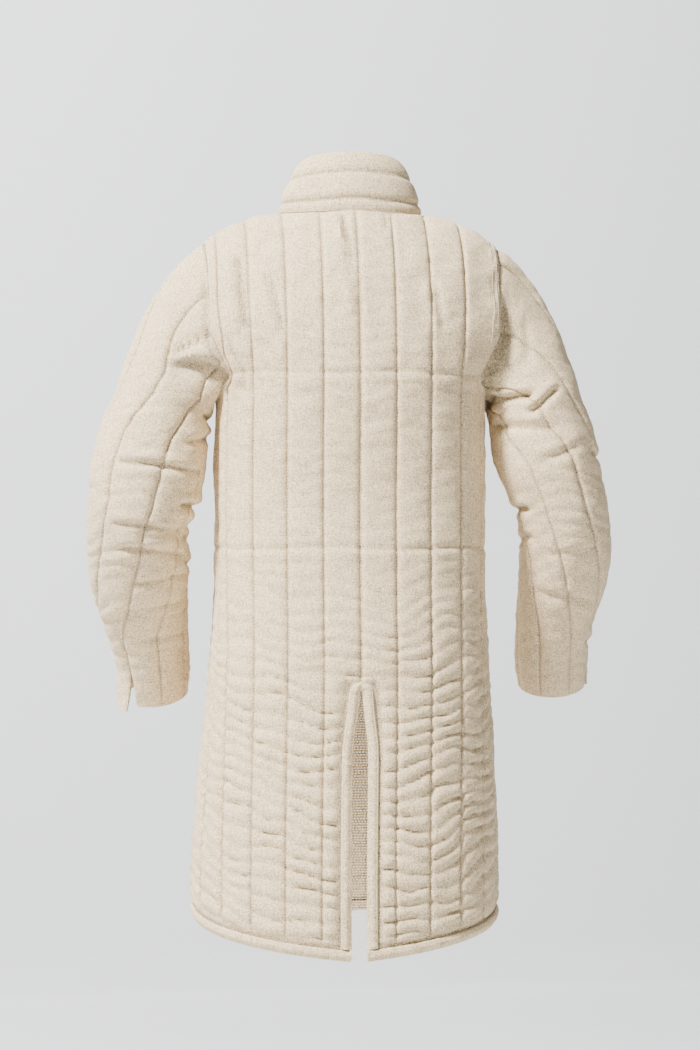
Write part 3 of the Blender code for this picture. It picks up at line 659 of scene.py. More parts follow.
def straightCrease(across, height, start, end, size, depth, fade):
    # a soft fold along a line drawn on the cloth: plus is a ridge, minus a trough
    start, end = np.array(start), np.array(end)
    way = end - start
    length = np.linalg.norm(way)
    way = way / length
    x, z = across - start[0], height - start[1]
    along = x * way[0] + z * way[1]
    off = -x * way[1] + z * way[0]
    within = ease((along + fade) / fade) * ease((length - along + fade) / fade)
    return depth * np.exp(-(off / size) ** 2) * within


def pleat(across, height, start, end, size, depth, fade):
    # a trough with a rounded ridge rolled beside it
    start, end = np.array(start), np.array(end)
    way = (end - start) / np.linalg.norm(end - start)
    shift = np.array((-way[1], way[0])) * size * 1.5
    trough = straightCrease(across, height, start, end, size, -depth, fade)
    roll = straightCrease(across, height, start + shift, end + shift, size * 1.3, depth * 0.7, fade)
    return trough + roll


backFolds = {
    "packing": ((-0.2314, 0.0016), (-0.4699, 0.0022)),   # height and depth of the creases from packing
    "packingSize": 0.0035,
    "pleatFade": 0.018,
    "collarBand": 0.0085,                                # strip sewn under the collar, to this height
    "bandHeight": 0.0016,
    "bandEnd": 0.099,
    # start (across, height), end, size, depth
    "pleats": (((0.0197, -0.008), (0.0160, -0.042), 0.0042, 0.0045),
               ((-0.042, -0.010), (-0.0415, -0.026), 0.0040, 0.0025),
               ((0.014, -0.050), (0.004, -0.140), 0.007, 0.0022),
               ((-0.104, -0.118), (-0.112, -0.165), 0.006, 0.0035),
               ((0.119, -0.112), (0.108, -0.170), 0.006, 0.0035),
               ((0.060, -0.020), (0.066, -0.100), 0.008, 0.0012),
               ((-0.062, -0.020), (-0.060, -0.090), 0.008, 0.0012),
               ((0.166, -0.080), (0.160, -0.165), 0.008, 0.0050),
               ((0.190, -0.190), (0.165, -0.250), 0.008, 0.0030)),
}


def backCreases(x, height):
    shift = np.zeros(len(x))
    for place, depth in backFolds["packing"]:
        wander = 0.0015 * np.sin(x * 31 + place * 40)
        shift += -depth * np.exp(-((height - place - wander) / backFolds["packingSize"]) ** 2)
        shift += depth * 0.5 * np.exp(-((height - place - wander + 0.010) / 0.008) ** 2)
    for start, end, size, depth in backFolds["pleats"]:
        shift += pleat(x, height, start, end, size, depth, backFolds["pleatFade"])
    band = 1 - ease((-backFolds["collarBand"] - height) / 0.0035)
    shift += backFolds["bandHeight"] * band * ease((backFolds["bandEnd"] - np.abs(x)) / 0.008)
    return shift


def frontCreases(x, height):
    shift = np.zeros(len(x))
    for place, depth in backFolds["packing"]:
        wander = 0.0015 * np.sin(x * 27 + place * 30)
        shift += -depth * 0.8 * np.exp(-((height - place - wander) / backFolds["packingSize"]) ** 2)
    sideways, upward = ease((np.abs(x) - 0.05) / 0.08), ease((height + 0.6) / 0.2)
    return shift + 0.0016 * np.sin(height * 46 + x * 22) * sideways * upward


leftArm = {
    "side": 1,
    # out, back, height, half width, half depth of each section
    "stations": ((.2630, .002, -.275, .0660, .0720), (.2755, .005, -.320, .0740, .0730),
                 (.2840, .008, -.365, .0780, .0720), (.2920, .008, -.400, .0740, .0700),
                 (.2990, .003, -.424, .0665, .0680), (.2961, -.012, -.460, .0680, .0670),
                 (.2927, -.035, -.511, .0665, .0630), (.2854, -.060, -.557, .0600, .0570),
                 (.2745, -.085, -.612, .0520, .0510), (.2644, -.112, -.679, .0450, .0460)),
    # height, turn of the quilting round the arm
    "twist": ((-.700, -5), (-.680, -5), (-.630, -3), (-.5745, 0), (-.524, 22), (-.465, 37),
              (-.410, 49), (-.3645, 51), (-.320, 56), (-.2665, 74), (-.210, 78), (-.150, 62),
              (-.060, 51), (0.05, 50)),
    "splay": 0.020,
    "puckerHigh": 0.0010,
    "puckerLow": 0.0028,
    "tuck": 0.0035,
    "tuckReach": 0.009,
    "tuckTop": -0.06,
    "slitHalfGap": 0.0012,
    "fold": 0.012,
    # ring angle and height of start and end, size, depth
    "creases": (((140, -.412), (235, -.418), 0.0050, -0.0080), ((60, -.352), (150, -.366), 0.0045, -0.0042),
                ((62, -.436), (130, -.444), 0.0045, -0.0036), ((72, -.470), (150, -.480), 0.0045, -0.0036),
                ((85, -.520), (165, -.505), 0.0045, -0.0036), ((62, -.560), (140, -.548), 0.0045, -0.0032),
                ((80, -.600), (150, -.590), 0.0045, -0.0028), ((60, -.300), (80, -.335), 0.0050, -0.0030),
                ((150, -.288), (190, -.296), 0.0050, -0.0050), ((130, -.325), (185, -.318), 0.0050, -0.0045),
                ((160, -.455), (230, -.470), 0.0050, -0.0048), ((160, -.490), (230, -.510), 0.0050, -0.0045)),
}

rightArm = {
    "side": -1,
    "stations": ((.2620, .002, -.275, .0650, .0720), (.2710, .005, -.315, .0715, .0730),
                 (.2800, .008, -.350, .0700, .0720), (.2930, .006, -.385, .0640, .0690),
                 (.3037, .000, -.420, .0620, .0680), (.3104, -.015, -.466, .0625, .0660),
                 (.3095, -.035, -.511, .0610, .0620), (.3047, -.060, -.562, .0545, .0570),
                 (.3042, -.085, -.614, .0510, .0520), (.3083, -.108, -.668, .0490, .0480)),
    "twist": ((-.700, -35), (-.674, -35), (-.600, -33), (-.565, -28), (-.527, -14), (-.460, 5),
              (-.410, 17), (-.352, 20), (-.320, 35), (-.264, 50), (-.150, 74), (0.05, 80)),
    "splay": 0.003,
    "puckerHigh": 0.0010,
    "puckerLow": 0.0020,
    "tuck": 0.0085,
    "tuckReach": 0.012,
    "tuckTop": -0.11,
    "slitHalfGap": 0.0012,
    "fold": 0.0,
    "creases": (((104, -.259), (158, -.269), 0.0042, -0.0066), ((72, -.252), (106, -.281), 0.0040, -0.0060),
                ((90, -.305), (160, -.300), 0.0060, -0.0040), ((-15, -.350), (35, -.338), 0.0050, -0.0060),
                ((-10, -.610), (40, -.604), 0.0050, -0.0040), ((60, -.160), (84, -.215), 0.0045, -0.0034),
                ((66, -.330), (110, -.352), 0.0055, -0.0032), ((150, -.415), (235, -.420), 0.0050, -0.0060),
                ((60, -.470), (120, -.480), 0.0050, -0.0026), ((60, -.545), (130, -.535), 0.0050, -0.0026),
                ((150, -.455), (230, -.468), 0.0050, -0.0042), ((110, -.222), (160, -.236), 0.0050, -0.0036)),
}

sleeve = {
    "channels": 7,
    "columns": (0, 0.05, 0.17, 0.33, 0.5, 0.67, 0.83, 0.95),
    "capRows": 34,
    "armRows": 62,
    "holeLevels": ((0, 1.0), (20, .8), (40, .64), (60, .5), (80, .375), (100, .25), (120, .13),
                   (140, .055), (160, .022), (180, 0.0)),
    "gap": 0.0008,
    "slit": 0.050,
    "radius": 0.068,          # about, for lengths round the arm
    "flatWidth": 0.44,
    "flatLength": 0.45,       # of the cap, and again of the arm below it
    "wall": 0.0050,
    "cuffWall": 0.0035,
    "puff": 0.0035,
    "sunk": 0.0028,
    "armholeDip": 0.0018,
    "deepest": 0.0030,
    "growthHigh": 0.022,
    "growthLow": 0.042,
}


def holePoints(turn, side):
    # the armhole's edge at a ring angle: point, direction out of the body, how far under the arm
    back = turn % 360 <= 180
    half = np.where(back, turn % 360, 360 - turn % 360)
    table = np.array(sleeve["holeLevels"])
    level = np.interp(half, table[:, 0], table[:, 1])
    angle = np.where(back, armholeTurn(level, 0), 180 - armholeTurn(level, 180))
    angle = np.where(half > 179.99, 90.0, angle)
    tuck = ease((0.16 - level) / 0.11)
    return bodyPoint(angle * side, level), bodyNormal(angle * side, level), tuck


def armPlaces(arm, place):
    side = arm["side"]
    table = [(float(i),) + row for i, row in enumerate(arm["stations"])]
    here = smoothRows(table, place)
    along = unit((smoothRows(table, place + 0.15) - smoothRows(table, place - 0.15))[:, :3])
    sideways = unit(np.array((1.0, 0, 0)) - along * along[:, :1])
    backward = np.cross(sideways, along)
    backward = backward * np.where(backward[:, 1:2] < 0, -1.0, 1.0)
    flip = np.array((side, 1.0, 1.0))
    return here[:, :3] * flip, along * flip, sideways * flip, backward * flip, here[:, 3:4], here[:, 4:5]


def capPoints(arm, turn, t):
    side = arm["side"]
    start, normal, tuck = holePoints(turn, side)
    ahead, behind = holePoints(turn + 4, side)[0], holePoints(turn - 4, side)[0]
    away = unit(np.cross(ahead - behind, normal))
    middle = np.array((0.2 * side, 0.0, -0.16))
    away = away * np.where(((middle - start) * away).sum(axis=1) < 0, -1.0, 1.0)[:, None]
    tuck = tuck[:, None]
    start = start + unit(blend(away, normal, tuck)) * sleeve["gap"]
    leave = unit(blend(away, np.array((0.42 * side, 0, -0.9)), tuck))
    centre, along, sideways, backward, halfWidth, halfDepth = armPlaces(arm, np.zeros(len(turn)))
    swing = np.radians(turn)[:, None]
    end = centre + sideways * halfWidth * np.cos(swing) + backward * halfDepth * np.sin(swing)
    reach = np.linalg.norm(end - start, axis=1, keepdims=True)
    t = t[:, None]
    return (start * (2 * t ** 3 - 3 * t * t + 1) + leave * reach * (t ** 3 - 2 * t * t + t)
            + end * (3 * t * t - 2 * t ** 3) + along * reach * (t ** 3 - t * t))


def armPoints(arm, turn, place, beside):
    centre, along, sideways, backward, halfWidth, halfDepth = armPlaces(arm, place)
    last = len(arm["stations"]) - 1
    cuff = armPlaces(arm, np.array([float(last)]))[0]
    toCuff = np.linalg.norm(centre - cuff, axis=1)
    opening = np.maximum(1 - toCuff / sleeve["slit"], 0)
    part = beside * 18
    spread = 1 + arm["splay"] / halfWidth[:, 0] * opening ** 1.3 * ease((part - 13) / 5)
    swing = np.radians(turn)[:, None]
    reach = spread[:, None]
    point = (centre + sideways * halfWidth * np.cos(swing) * reach
             + backward * halfDepth * np.sin(swing) * reach)
    roundWay = backward * np.cos(swing) - sideways * np.sin(swing)
    edge = np.where(beside < 0.001, 1.0, np.where(beside > 0.999, -1.0, 0.0)) * (opening > 0)
    return point + roundWay * (edge * arm["slitHalfGap"])[:, None]


def sleevePoints(arm, beside, v):
    # beside: 0 to 1 round the arm from the slit's line; v: 0 to 1 the cap, then 1 to 2 to the cuff
    last = len(arm["stations"]) - 1
    inCap = v < 1
    place = np.clip(v - 1, 0, 1) * last
    height = armPlaces(arm, place)[0][:, 2]
    twist = np.array(arm["twist"])
    capHeight = blend(-0.06, arm["stations"][0][2], np.clip(v, 0, 1))
    height = np.where(inCap, capHeight, height)
    turn = np.interp(height, twist[:, 0], twist[:, 1]) + 360 / sleeve["channels"] + beside * 360
    points = np.where(inCap[:, None], capPoints(arm, turn, np.clip(v, 0, 1)),
                      armPoints(arm, turn, place, beside))
    return points, turn


def sleeveForm(name, arm):
    side = arm["side"]
    channel = len(sleeve["columns"])
    columns = sleeve["channels"] * channel
    shares = [i + share for i in range(sleeve["channels"]) for share in sleeve["columns"]]
    shares = np.array(shares + [sleeve["channels"]])
    rows = sleeve["capRows"] + sleeve["armRows"]
    thing = gridObject(name, columns, rows)
    column, row = gridPlaces(thing)
    row = rows - row
    v = np.where(row < sleeve["capRows"], row / sleeve["capRows"],
                 1 + (row - sleeve["capRows"]) / sleeve["armRows"])
    beside = shares[column] / sleeve["channels"]
    rest, turn = sleevePoints(arm, beside, v)
    step = 0.4 / columns
    across = sleevePoints(arm, beside + step, v)[0] - sleevePoints(arm, beside - step, v)[0]
    lower, upper = np.minimum(v + 0.012, 2), np.maximum(v - 0.012, 0)
    down = sleevePoints(arm, beside, lower)[0] - sleevePoints(arm, beside, upper)[0]
    normals = unit(np.cross(across, down))
    last = len(arm["stations"]) - 1
    centre = armPlaces(arm, np.clip(v - 1, 0, 1) * last)[0]
    outward = rest - centre
    outward = np.where((v < 1)[:, None], rest - np.array((0.2 * side, 0.0, -0.2)), outward)
    facing = (normals * outward).sum(axis=1)
    normals = normals * (-1.0 if np.median(facing) < 0 else 1.0)
    body, bodyOut, tuck = holePoints(turn, side)
    first = (row == 0)[:, None]
    normals = np.where(first, unit(blend(bodyOut, normals, tuck[:, None])), normals)
    fromEdge = np.minimum(row / 3.0, (rows - row) / 2.0)
    line = column % channel == 0
    slitEdge = ((column <= 1) | (column >= columns - 1)) & (v > 1.86)
    pinned = line | (row == 0) | (row >= rows - 1) | slitEdge
    swell = np.sin(math.pi * (shares[column] % 1.0)) ** 0.45 * ease(fromEdge)
    seed = 31 + side
    lift = np.where(line, -sleeve["sunk"] * (0.3 + 0.7 * ease(fromEdge)), 0.0)
    lift = np.where(row == 0, -sleeve["armholeDip"], lift)
    rough = waveNoise(rest, 0.05, seed)
    lift = lift + np.where(pinned, 0.0, swell * sleeve["puff"] * (0.8 + 0.2 * rough))
    lift = lift + uneven(pinned, seed)
    growth = blend(sleeve["growthHigh"], sleeve["growthLow"], ease((v - 1.0) / 0.5))
    growth = growth * (1 + 0.25 * waveNoise(rest, 0.12, seed + 3))
    fillOut(thing, rest, normals, pinned, lift, growth, quilting["pressure"], sleeve["deepest"])
    wall = blend(coat["seamWall"], sleeve["wall"], ease(row / 4.0))
    wall = np.minimum(wall, blend(sleeve["cuffWall"], sleeve["wall"], ease((rows - row) / 4.0)))
    # painted shade: the tone marks the stitch lines and the armhole seam, whose colour is darkened
    tone = np.where(line | (row == 0), 1.0, 0.0)
    writeNotes(thing, rest, normals, wall, tone, v)
    swing = np.radians(turn)
    order = np.lexsort((row, column)).reshape(columns + 1, rows + 1)
    lengths = np.linalg.norm(np.diff(rest[order], axis=1), axis=2)
    fromSeam = np.zeros(len(rest))
    fromSeam[order[:, 1:]] = np.cumsum(lengths, axis=1)
    writeVectors(thing.data, "ring", np.stack((np.cos(swing), np.sin(swing), fromSeam), axis=1))
    layUvs(thing, beside * sleeve["flatWidth"] + 2.0, sleeve["flatLength"] * (2 - v))
    mesh = bmesh.new()
    mesh.from_mesh(thing.data)
    bmesh.ops.remove_doubles(mesh, verts=mesh.verts, dist=0.00005)
    mesh.to_mesh(thing.data)
    mesh.free()
    column = gridPlaces(thing)[0] % columns
    finer(thing, np.where(column % channel == 0, column + 1, 0))
    sleevePuckers(thing, arm, seed + 40)
    if arm["fold"] > 0:
        armpitFold(thing, arm)
    return thing


armpit = {
    # the roll of cloth under the arm: distance out and height of its upper and lower edges
    "upper": ((0.172, -0.160), (0.186, -0.174), (0.226, -0.192), (0.266, -0.211), (0.290, -0.214)),
    "lower": ((0.172, -0.236), (0.186, -0.225), (0.200, -0.2175), (0.226, -0.2155), (0.266, -0.2150),
              (0.290, -0.2150)),
    "end": 0.272,
    "crease": 0.0055,
    "creaseSize": 0.0075,
    "recess": 0.0100,
    "recessReach": 0.026,
}


def armpitFold(thing, arm):
    points, rest, normals, facts = readNotes(thing)
    out, z = np.abs(rest[:, 0]), rest[:, 2]
    upper = np.interp(out, *np.array(armpit["upper"]).T)
    lower = np.interp(out, *np.array(armpit["lower"]).T)
    tall = np.maximum(upper - lower, 0.004)
    inside = np.clip((z - lower) / tall, 0, 1)
    fade = ease((armpit["end"] - out) / 0.035) * ease((normals[:, 1] - 0.05) / 0.35)
    height = arm["fold"] * np.clip(tall / 0.030, 0.35, 1.0)
    roll = height * np.sin(math.pi * inside ** 0.8) ** 0.9
    crease = -armpit["crease"] * np.exp(-((z - upper) / armpit["creaseSize"]) ** 2)
    under = np.where(z < lower, -armpit["recess"] * np.exp(-(lower - z) / armpit["recessReach"]), 0.0)
    under *= ease((lower - z) / 0.008)
    seam = ease(facts[:, 2] / 0.05)
    writePoints(thing.data, points + normals * ((roll + crease + under) * fade * seam)[:, None])
    # painted shade along the roll's upper crease and under its lower edge
    edgeShade = np.exp(-((z - upper) / 0.0055) ** 2) + np.exp(-((z - lower + 0.003) / 0.0060) ** 2)
    addPaintedShade(thing, edgeShade * 1.1 * fade)


def sleevePuckers(thing, arm, seed):
    points, rest, normals, facts = readNotes(thing)
    v = facts[:, 2]
    ring = readVectors(thing.data, "ring")
    low = ease((v - 1.15) / 0.35)
    amount = blend(arm["puckerHigh"], arm["puckerLow"], low)
    keep = ease(ring[:, 2] / 0.006) * ease((2 - v) / 0.06)
    around = rest[:, 0] * arm["side"] * 0.6 + rest[:, 1]
    near = np.clip(facts[:, 1] + 0.25, 0, 1)
    shift = crumple(around, rest[:, 2] - 0.25 * rest[:, 1], seed, amount, near, 0.0)
    angle = np.degrees(np.arctan2(ring[:, 1], ring[:, 0]))
    full = angle % 360
    circle = sleeve["radius"] * math.pi / 180
    folds = np.zeros(len(rest))
    for start, end, size, depth in arm["creases"]:
        place = (full if start[0] >= 60 or end[0] > 180 else angle) * circle
        first, last = (start[0] * circle, start[1]), (end[0] * circle, end[1])
        # the crease, with a soft roll above and below it
        for up, wide, share, fade in ((0, 1, 1, 0.010), (2.2, 1.6, -0.55, 0.014), (-2.4, 1.8, -0.35, 0.014)):
            height = rest[:, 2] - size * up
            folds += straightCrease(place, height, first, last, size * wide, depth * share, fade)
    # the cloth turns in behind the armhole seam, most of all low down at the back
    near = ring[:, 2] / arm["tuckReach"]
    tuck = ease(near / 0.3) * np.exp(1 - np.maximum(near, 1))
    folds = folds * ease(near) - arm["tuck"] * tuck * ease((arm["tuckTop"] - rest[:, 2]) / 0.06)
    held = 1 - 0.5 * facts[:, 1]
    writePoints(thing.data, points + normals * ((shift * held + folds) * keep)[:, None])
    # painted shade: colour darkened in the deeper pucker creases and the sleeve creases
    addPaintedShade(thing, (-shift / 0.0028 - 0.25) * 0.7 * keep)
    addPaintedShade(thing, -folds / 0.0042 * keep)


collar = {
    "columns": 98,
    "rows": 15,
    "topHalfWidth": 0.0745,
    "topBack": 0.044,
    "topFront": 0.088,
    "backHeight": 0.079,
    "frontHeight": 0.034,
    "heightEase": 0.65,
    "swell": 0.004,
    "turn": 179.6,
    "lift": 0.00045,
    "wall": 0.0070,
    "topThinner": 0.0030,
    "edgeDip": 0.0012,
    "flatWidth": 0.54,
    "flatHeight": 0.082,
    "lineRows": (3, 10),      # rows that are stitched through
    "growth": 0.008,
    "pressure": 0.5,
    "puff": 0.0009,
    "sunk": 0.0034,
}


def collarPoints(around, part):
    # around: 0 centre back, 180 centre front; part: 0 at the neck seam, 1 at the top
    side = np.where(around < 0, -1.0, 1.0)
    turn = np.abs(around)
    centre = np.where(turn < 90, 0, 180)
    fromCentre = np.where(centre == 0, turn, 180 - turn)
    x = coat["neckHalfWidth"] * np.sin(np.radians(fromCentre))
    level = np.where(centre == 0, neckLevel(x, 0), neckLevel(x, 180))
    sweep = np.degrees(np.arcsin((x / coat["spread"]) ** (coat["power"] / 2)))
    angle = np.where(centre == 0, sweep, 180 - sweep) * side
    low = bodyPoint(angle, np.minimum(level, 0.9999))
    clearOfGap = np.maximum(np.abs(low[:, 0]), coat["frontHalfGap"]) * side
    low[:, 0] = np.where(centre == 180, clearOfGap, low[:, 0])
    low[:, 2] += collar["lift"]
    swing = np.radians(turn)
    reach = np.where(np.cos(swing) > 0, collar["topBack"], collar["topFront"])
    level = np.maximum((1 + np.cos(swing)) / 2, 0) ** collar["heightEase"]
    height = blend(collar["frontHeight"], collar["backHeight"], level)
    out = collar["topHalfWidth"] * np.sin(swing)
    out = np.where(turn > 90, np.maximum(out, coat["frontHalfGap"]), out)
    high = np.stack((out * side, reach * np.cos(swing), height), axis=1)
    way = unit(np.stack((low[:, 0], low[:, 1] + 0.01, np.zeros(len(low))), axis=1))
    part = part[:, None]
    return blend(low, high, part) + way * collar["swell"] * np.sin(math.pi * part)


def collarForm(name):
    columns, rows = collar["columns"], collar["rows"]
    thing = gridObject(name, columns, rows)
    column, row = gridPlaces(thing)
    around = collar["turn"] * (2 * column / columns - 1)
    around = np.where(np.abs(around) < 1e-6, 1e-6, around)
    part = row / rows
    rest = collarPoints(around, part)
    across = collarPoints(around + 0.3, part) - collarPoints(around - 0.3, part)
    above, below = np.minimum(part + 0.03, 1), np.maximum(part - 0.03, 0)
    up = collarPoints(around, above) - collarPoints(around, below)
    normals = unit(np.cross(across, up))
    facing = normals[:, 0] * rest[:, 0] + normals[:, 1] * (rest[:, 1] + 0.02)
    normals = normals * np.where(facing < 0, -1.0, 1.0)[:, None]
    low, middle = collar["lineRows"]
    line = (row == low) | (row == middle)
    pinned = line | (row == 0) | (row == rows) | (column == 0) | (column == columns)
    zone = np.where(row < low, row / low, np.where(row < middle, (row - low) / (middle - low),
                    (row - middle) / (rows - middle)))
    swell = np.maximum(np.sin(math.pi * zone), 0) ** 0.5
    lift = np.where(row == low, -collar["sunk"] * 1.25, 0.0)
    lift = np.where(row == middle, -collar["sunk"] * 0.8, lift)
    lift = np.where((row == 0) | (row == rows), -collar["edgeDip"], lift)
    tight = np.where(row < low, 0.7, np.where(row > middle, 0.75, 1.0))
    rough = waveNoise(rest, 0.04, 51)
    lift = lift + np.where(pinned, 0.0, swell * collar["puff"] * tight * (0.8 + 0.2 * rough))
    growth = collar["growth"] * (1 + 0.3 * rough)
    fillOut(thing, rest, normals, pinned, lift, growth, collar["pressure"], quilting["deepest"])
    wall = blend(coat["seamWall"], collar["wall"], ease(part / 0.3))
    wall -= collar["topThinner"] * ease((part - 0.8) / 0.2)
    normals = np.where((row == 0)[:, None], unit(normals * np.array((1, 1, 0.0))), normals)
    # painted shade: the collar's stitch lines are marked for darkened colour
    writeNotes(thing, rest, normals, wall, line.astype(float), part)
    layUvs(thing, around / 360 * collar["flatWidth"] + 5.0, part * collar["flatHeight"])
    finer(thing, np.where(line, row, 0))
    return thing


binding = {
    "ringPoints": 12,
    "cloth": 0.0012,
    "pad": 0.0040,
    "pucker": 0.0013,
    "puckerLength": 0.0105,
    "sunk": 0.0019,
    "inside": 0.0056,
    "past": 0.0028,
    "turnSteps": 7,
    "foot": 0.0012,          # clear of the hem binding
    "archGap": 0.0003,
    "archWidth": 0.0100,
    "endRoom": 0.0022,
    "hemStep": 0.0046,
    "belowNeck": 0.012,
}


def besideCentre(across, level, centre, side):
    height = blend(hemHeight(centre), coat["underarm"], 1 + np.minimum(level, 0))
    low = smoothRows(coat["sections"], height)[:, 0]
    rise = domeRise(level)[0]
    upper = blend(coat["sections"][-1][1], coat["spread"], ease(rise / coat["spreadLevel"]))
    halfWidth = np.where(level < 0, low, upper)
    turn = np.degrees(np.arcsin(np.clip(np.abs(across) / halfWidth, 0, 1) ** (coat["power"] / 2)))
    angle = (turn if centre == 0 else 180 - turn) * side * np.where(across >= 0, 1.0, -1.0)
    return bodyPoint(angle, level), bodyNormal(angle, level)


def foldedStrip(name, edge, leg, edgeNormal, legNormal, seed, uStart):
    # a padded strip folded over a cut edge: edge and leg are lines on the cloth's face
    count = len(edge)
    half = binding["ringPoints"]
    out = unit(edge - leg)
    along = np.concatenate(([0], np.cumsum(np.linalg.norm(np.diff((edge + leg) / 2, axis=0), axis=1))))
    width = np.linalg.norm(edge - leg, axis=1)[:, None]
    rough = waveNoise(np.stack((along, along * 0), axis=1), 0.031, seed)
    slow = waveNoise(np.stack((along, along * 0), axis=1), 0.09, seed + 1)
    path, shares = [], []
    for k in range(half + 1):
        s = k / half
        base, normal = blend(leg, edge, s), unit(blend(legNormal, edgeNormal, s))
        pad = math.sin(math.pi * min(s * 0.92 + 0.02, 1.0)) ** 0.65
        turns = along / binding["puckerLength"] + 0.55 * s
        wave = np.sin(2 * math.pi * turns + 1.6 * rough + 2.0 * slow)
        ripple = binding["pucker"] * wave * (0.55 + 0.45 * slow) * math.sin(math.pi * s) ** 0.5
        height = -binding["sunk"] + binding["pad"] * pad * (1 + 0.12 * rough) + ripple
        path.append(base + normal * height[:, None])
        shares.append(s)
    turnSteps = binding["turnSteps"]
    topHeight = -binding["sunk"] + binding["pad"] * math.sin(math.pi * 0.94) ** 0.65
    for k in range(1, turnSteps):
        swing = math.pi * k / turnSteps
        middle = (topHeight - binding["inside"]) / 2
        reach = (topHeight + binding["inside"]) / 2
        path.append(edge + edgeNormal * (middle + reach * math.cos(swing))
                    + out * binding["past"] * math.sin(swing) ** 0.8)
        shares.append(1 + k / turnSteps * 0.5)
    for k in range(half + 1):
        s = 1 - k / half
        base, normal = blend(leg, edge, s), unit(blend(legNormal, edgeNormal, s))
        drop = binding["inside"] + 0.0012 * (1 - s)
        path.append(base - normal * drop)
        shares.append(1.5 + (1 - s))
    path = np.array(path)    # ring point, place, xyz
    ringWay = np.gradient(path, axis=0)
    lineWay = np.gradient(path, axis=1)
    normals = unit(np.cross(lineWay, ringWay))
    facing = (normals[half // 2] * edgeNormal).sum(axis=1)
    normals = normals * (-1.0 if np.median(facing) < 0 else 1.0)
    inner = path - normals * binding["cloth"]
    ring = np.concatenate((path, inner[::-1]))
    shares = shares + shares[::-1]
    total = len(ring)
    mesh = bmesh.new()
    bmesh.ops.create_grid(mesh, x_segments=total - 1, y_segments=count - 1, size=1.0)
    uv = mesh.loops.layers.uv.new("weave")
    places = {}
    for vert in mesh.verts:
        c = round((vert.co.x + 1) / 2 * (total - 1))
        r = round((vert.co.y + 1) / 2 * (count - 1))
        places[vert.index] = (c, r)
        vert.co = ring[c, r]
    mesh.verts.index_update()
    for face in mesh.faces:
        for corner in face.loops:
            c, r = places[corner.vert.index]
            corner[uv].uv = (shares[c] * float(width[r, 0]) + uStart, along[r])
    lengthwise = [edge for edge in mesh.edges if edge.is_boundary
                  and {places[v.index][0] for v in edge.verts} in ({0}, {total - 1})]
    bmesh.ops.bridge_loops(mesh, edges=lengthwise)
    bmesh.ops.holes_fill(mesh, edges=[e for e in mesh.edges if e.is_boundary], sides=0)
    bmesh.ops.recalc_face_normals(mesh, faces=mesh.faces)
    data = bpy.data.meshes.new(name)
    mesh.to_mesh(data)
    mesh.free()
    data.shade_smooth()
    data.set_sharp_from_angle(angle=math.radians(70))
    thing = bpy.data.objects.new(name, data)
    bpy.context.collection.objects.link(thing)
    seam = 2
    return thing, ring[seam], unit(blend(legNormal, edgeNormal, seam / half))


def evenSteps(points, step):
    lengths = np.concatenate(([0], np.cumsum(np.linalg.norm(np.diff(points, axis=0), axis=1))))
    count = max(int(round(lengths[-1] / step)), 2)
    wanted = np.linspace(0, lengths[-1], count + 1)
    return wanted, lengths


def ventStrip():
    span = coat["underarm"] - float(hemHeight(0))
    archLevel = (coat["ventTop"] - coat["ventRound"] - float(hemHeight(0))) / span - 1
    foot = -1 + (coat["hemBindingWidth"] + binding["foot"]) / span
    levels = np.linspace(foot, archLevel - 0.004, 92)
    gap = slitHalfGap(blend(hemHeight(0), coat["underarm"], 1 + levels), 0)
    radius = coat["ventRound"] - binding["archGap"]
    lean = np.linspace(0, math.pi, 19)
    wide = coat["bindingWidth"]
    across = np.concatenate((gap, radius * np.cos(lean), -gap[::-1]))
    level = np.concatenate((levels, archLevel + radius * np.sin(lean) / span, levels[::-1]))
    leans = np.concatenate((levels * 0, lean, levels * 0 + math.pi))
    atArch = blend(wide, binding["archWidth"], np.sin(lean))
    width = np.concatenate((levels * 0 + wide, atArch, levels * 0 + wide))
    edge, edgeNormal = besideCentre(across, level, 0, 1)
    legAcross, legLevel = across + width * np.cos(leans), level + width * np.sin(leans) / span
    leg, legNormal = besideCentre(legAcross, legLevel, 0, 1)
    return foldedStrip("ventBinding", edge, leg, edgeNormal, legNormal, 61, 7.0)


def hemStrip(name, side):
    backGap = float(slitHalfGap(float(hemHeight(0)), 0)) - binding["endRoom"]
    frontGap = coat["frontHemHalfGap"] - binding["endRoom"]
    sweep = np.linspace(0, 180, 1441)
    points = bodyPoint(sweep * side, -1.0)
    girth = np.concatenate(([0], np.cumsum(np.linalg.norm(np.diff(points, axis=0), axis=1))))
    keep = (girth >= backGap) & (girth <= girth[-1] - frontGap)
    sweep, points = sweep[keep], points[keep]
    wanted, lengths = evenSteps(points, binding["hemStep"])
    angle = np.interp(wanted, lengths, sweep) * side
    level = -1 + coat["hemBindingWidth"] / (coat["underarm"] - hemHeight(np.abs(angle)))
    edge, edgeNormal = bodyPoint(angle, -1.0), bodyNormal(angle, -1.0)
    leg, legNormal = bodyPoint(angle, level), bodyNormal(angle, level)
    return foldedStrip(name, edge, leg, edgeNormal, legNormal, 64 + side, 8.0)


def frontStrip(name, side):
    span = coat["underarm"] - float(hemHeight(180))
    foot = -1 + (coat["hemBindingWidth"] + binding["foot"]) / span
    top = float(neckLevel(0.0, 180)) - binding["belowNeck"]
    level = np.concatenate((np.linspace(foot, -0.004, 150), np.linspace(0.004, top, 70)))
    height = bodyPoint(np.full(len(level), 180.0), level)[:, 2]
    gap = slitHalfGap(height, 180)
    edge, edgeNormal = besideCentre(gap, level, 180, side)
    leg, legNormal = besideCentre(gap + coat["hemBindingWidth"], level, 180, side)
    return foldedStrip(name, edge, leg, edgeNormal, legNormal, 74 + side, 9.0)


stitch = {
    "pitch": 0.0042,
    "length": 0.0030,
    "thickness": 0.00105,
    "above": 0.00045,
}


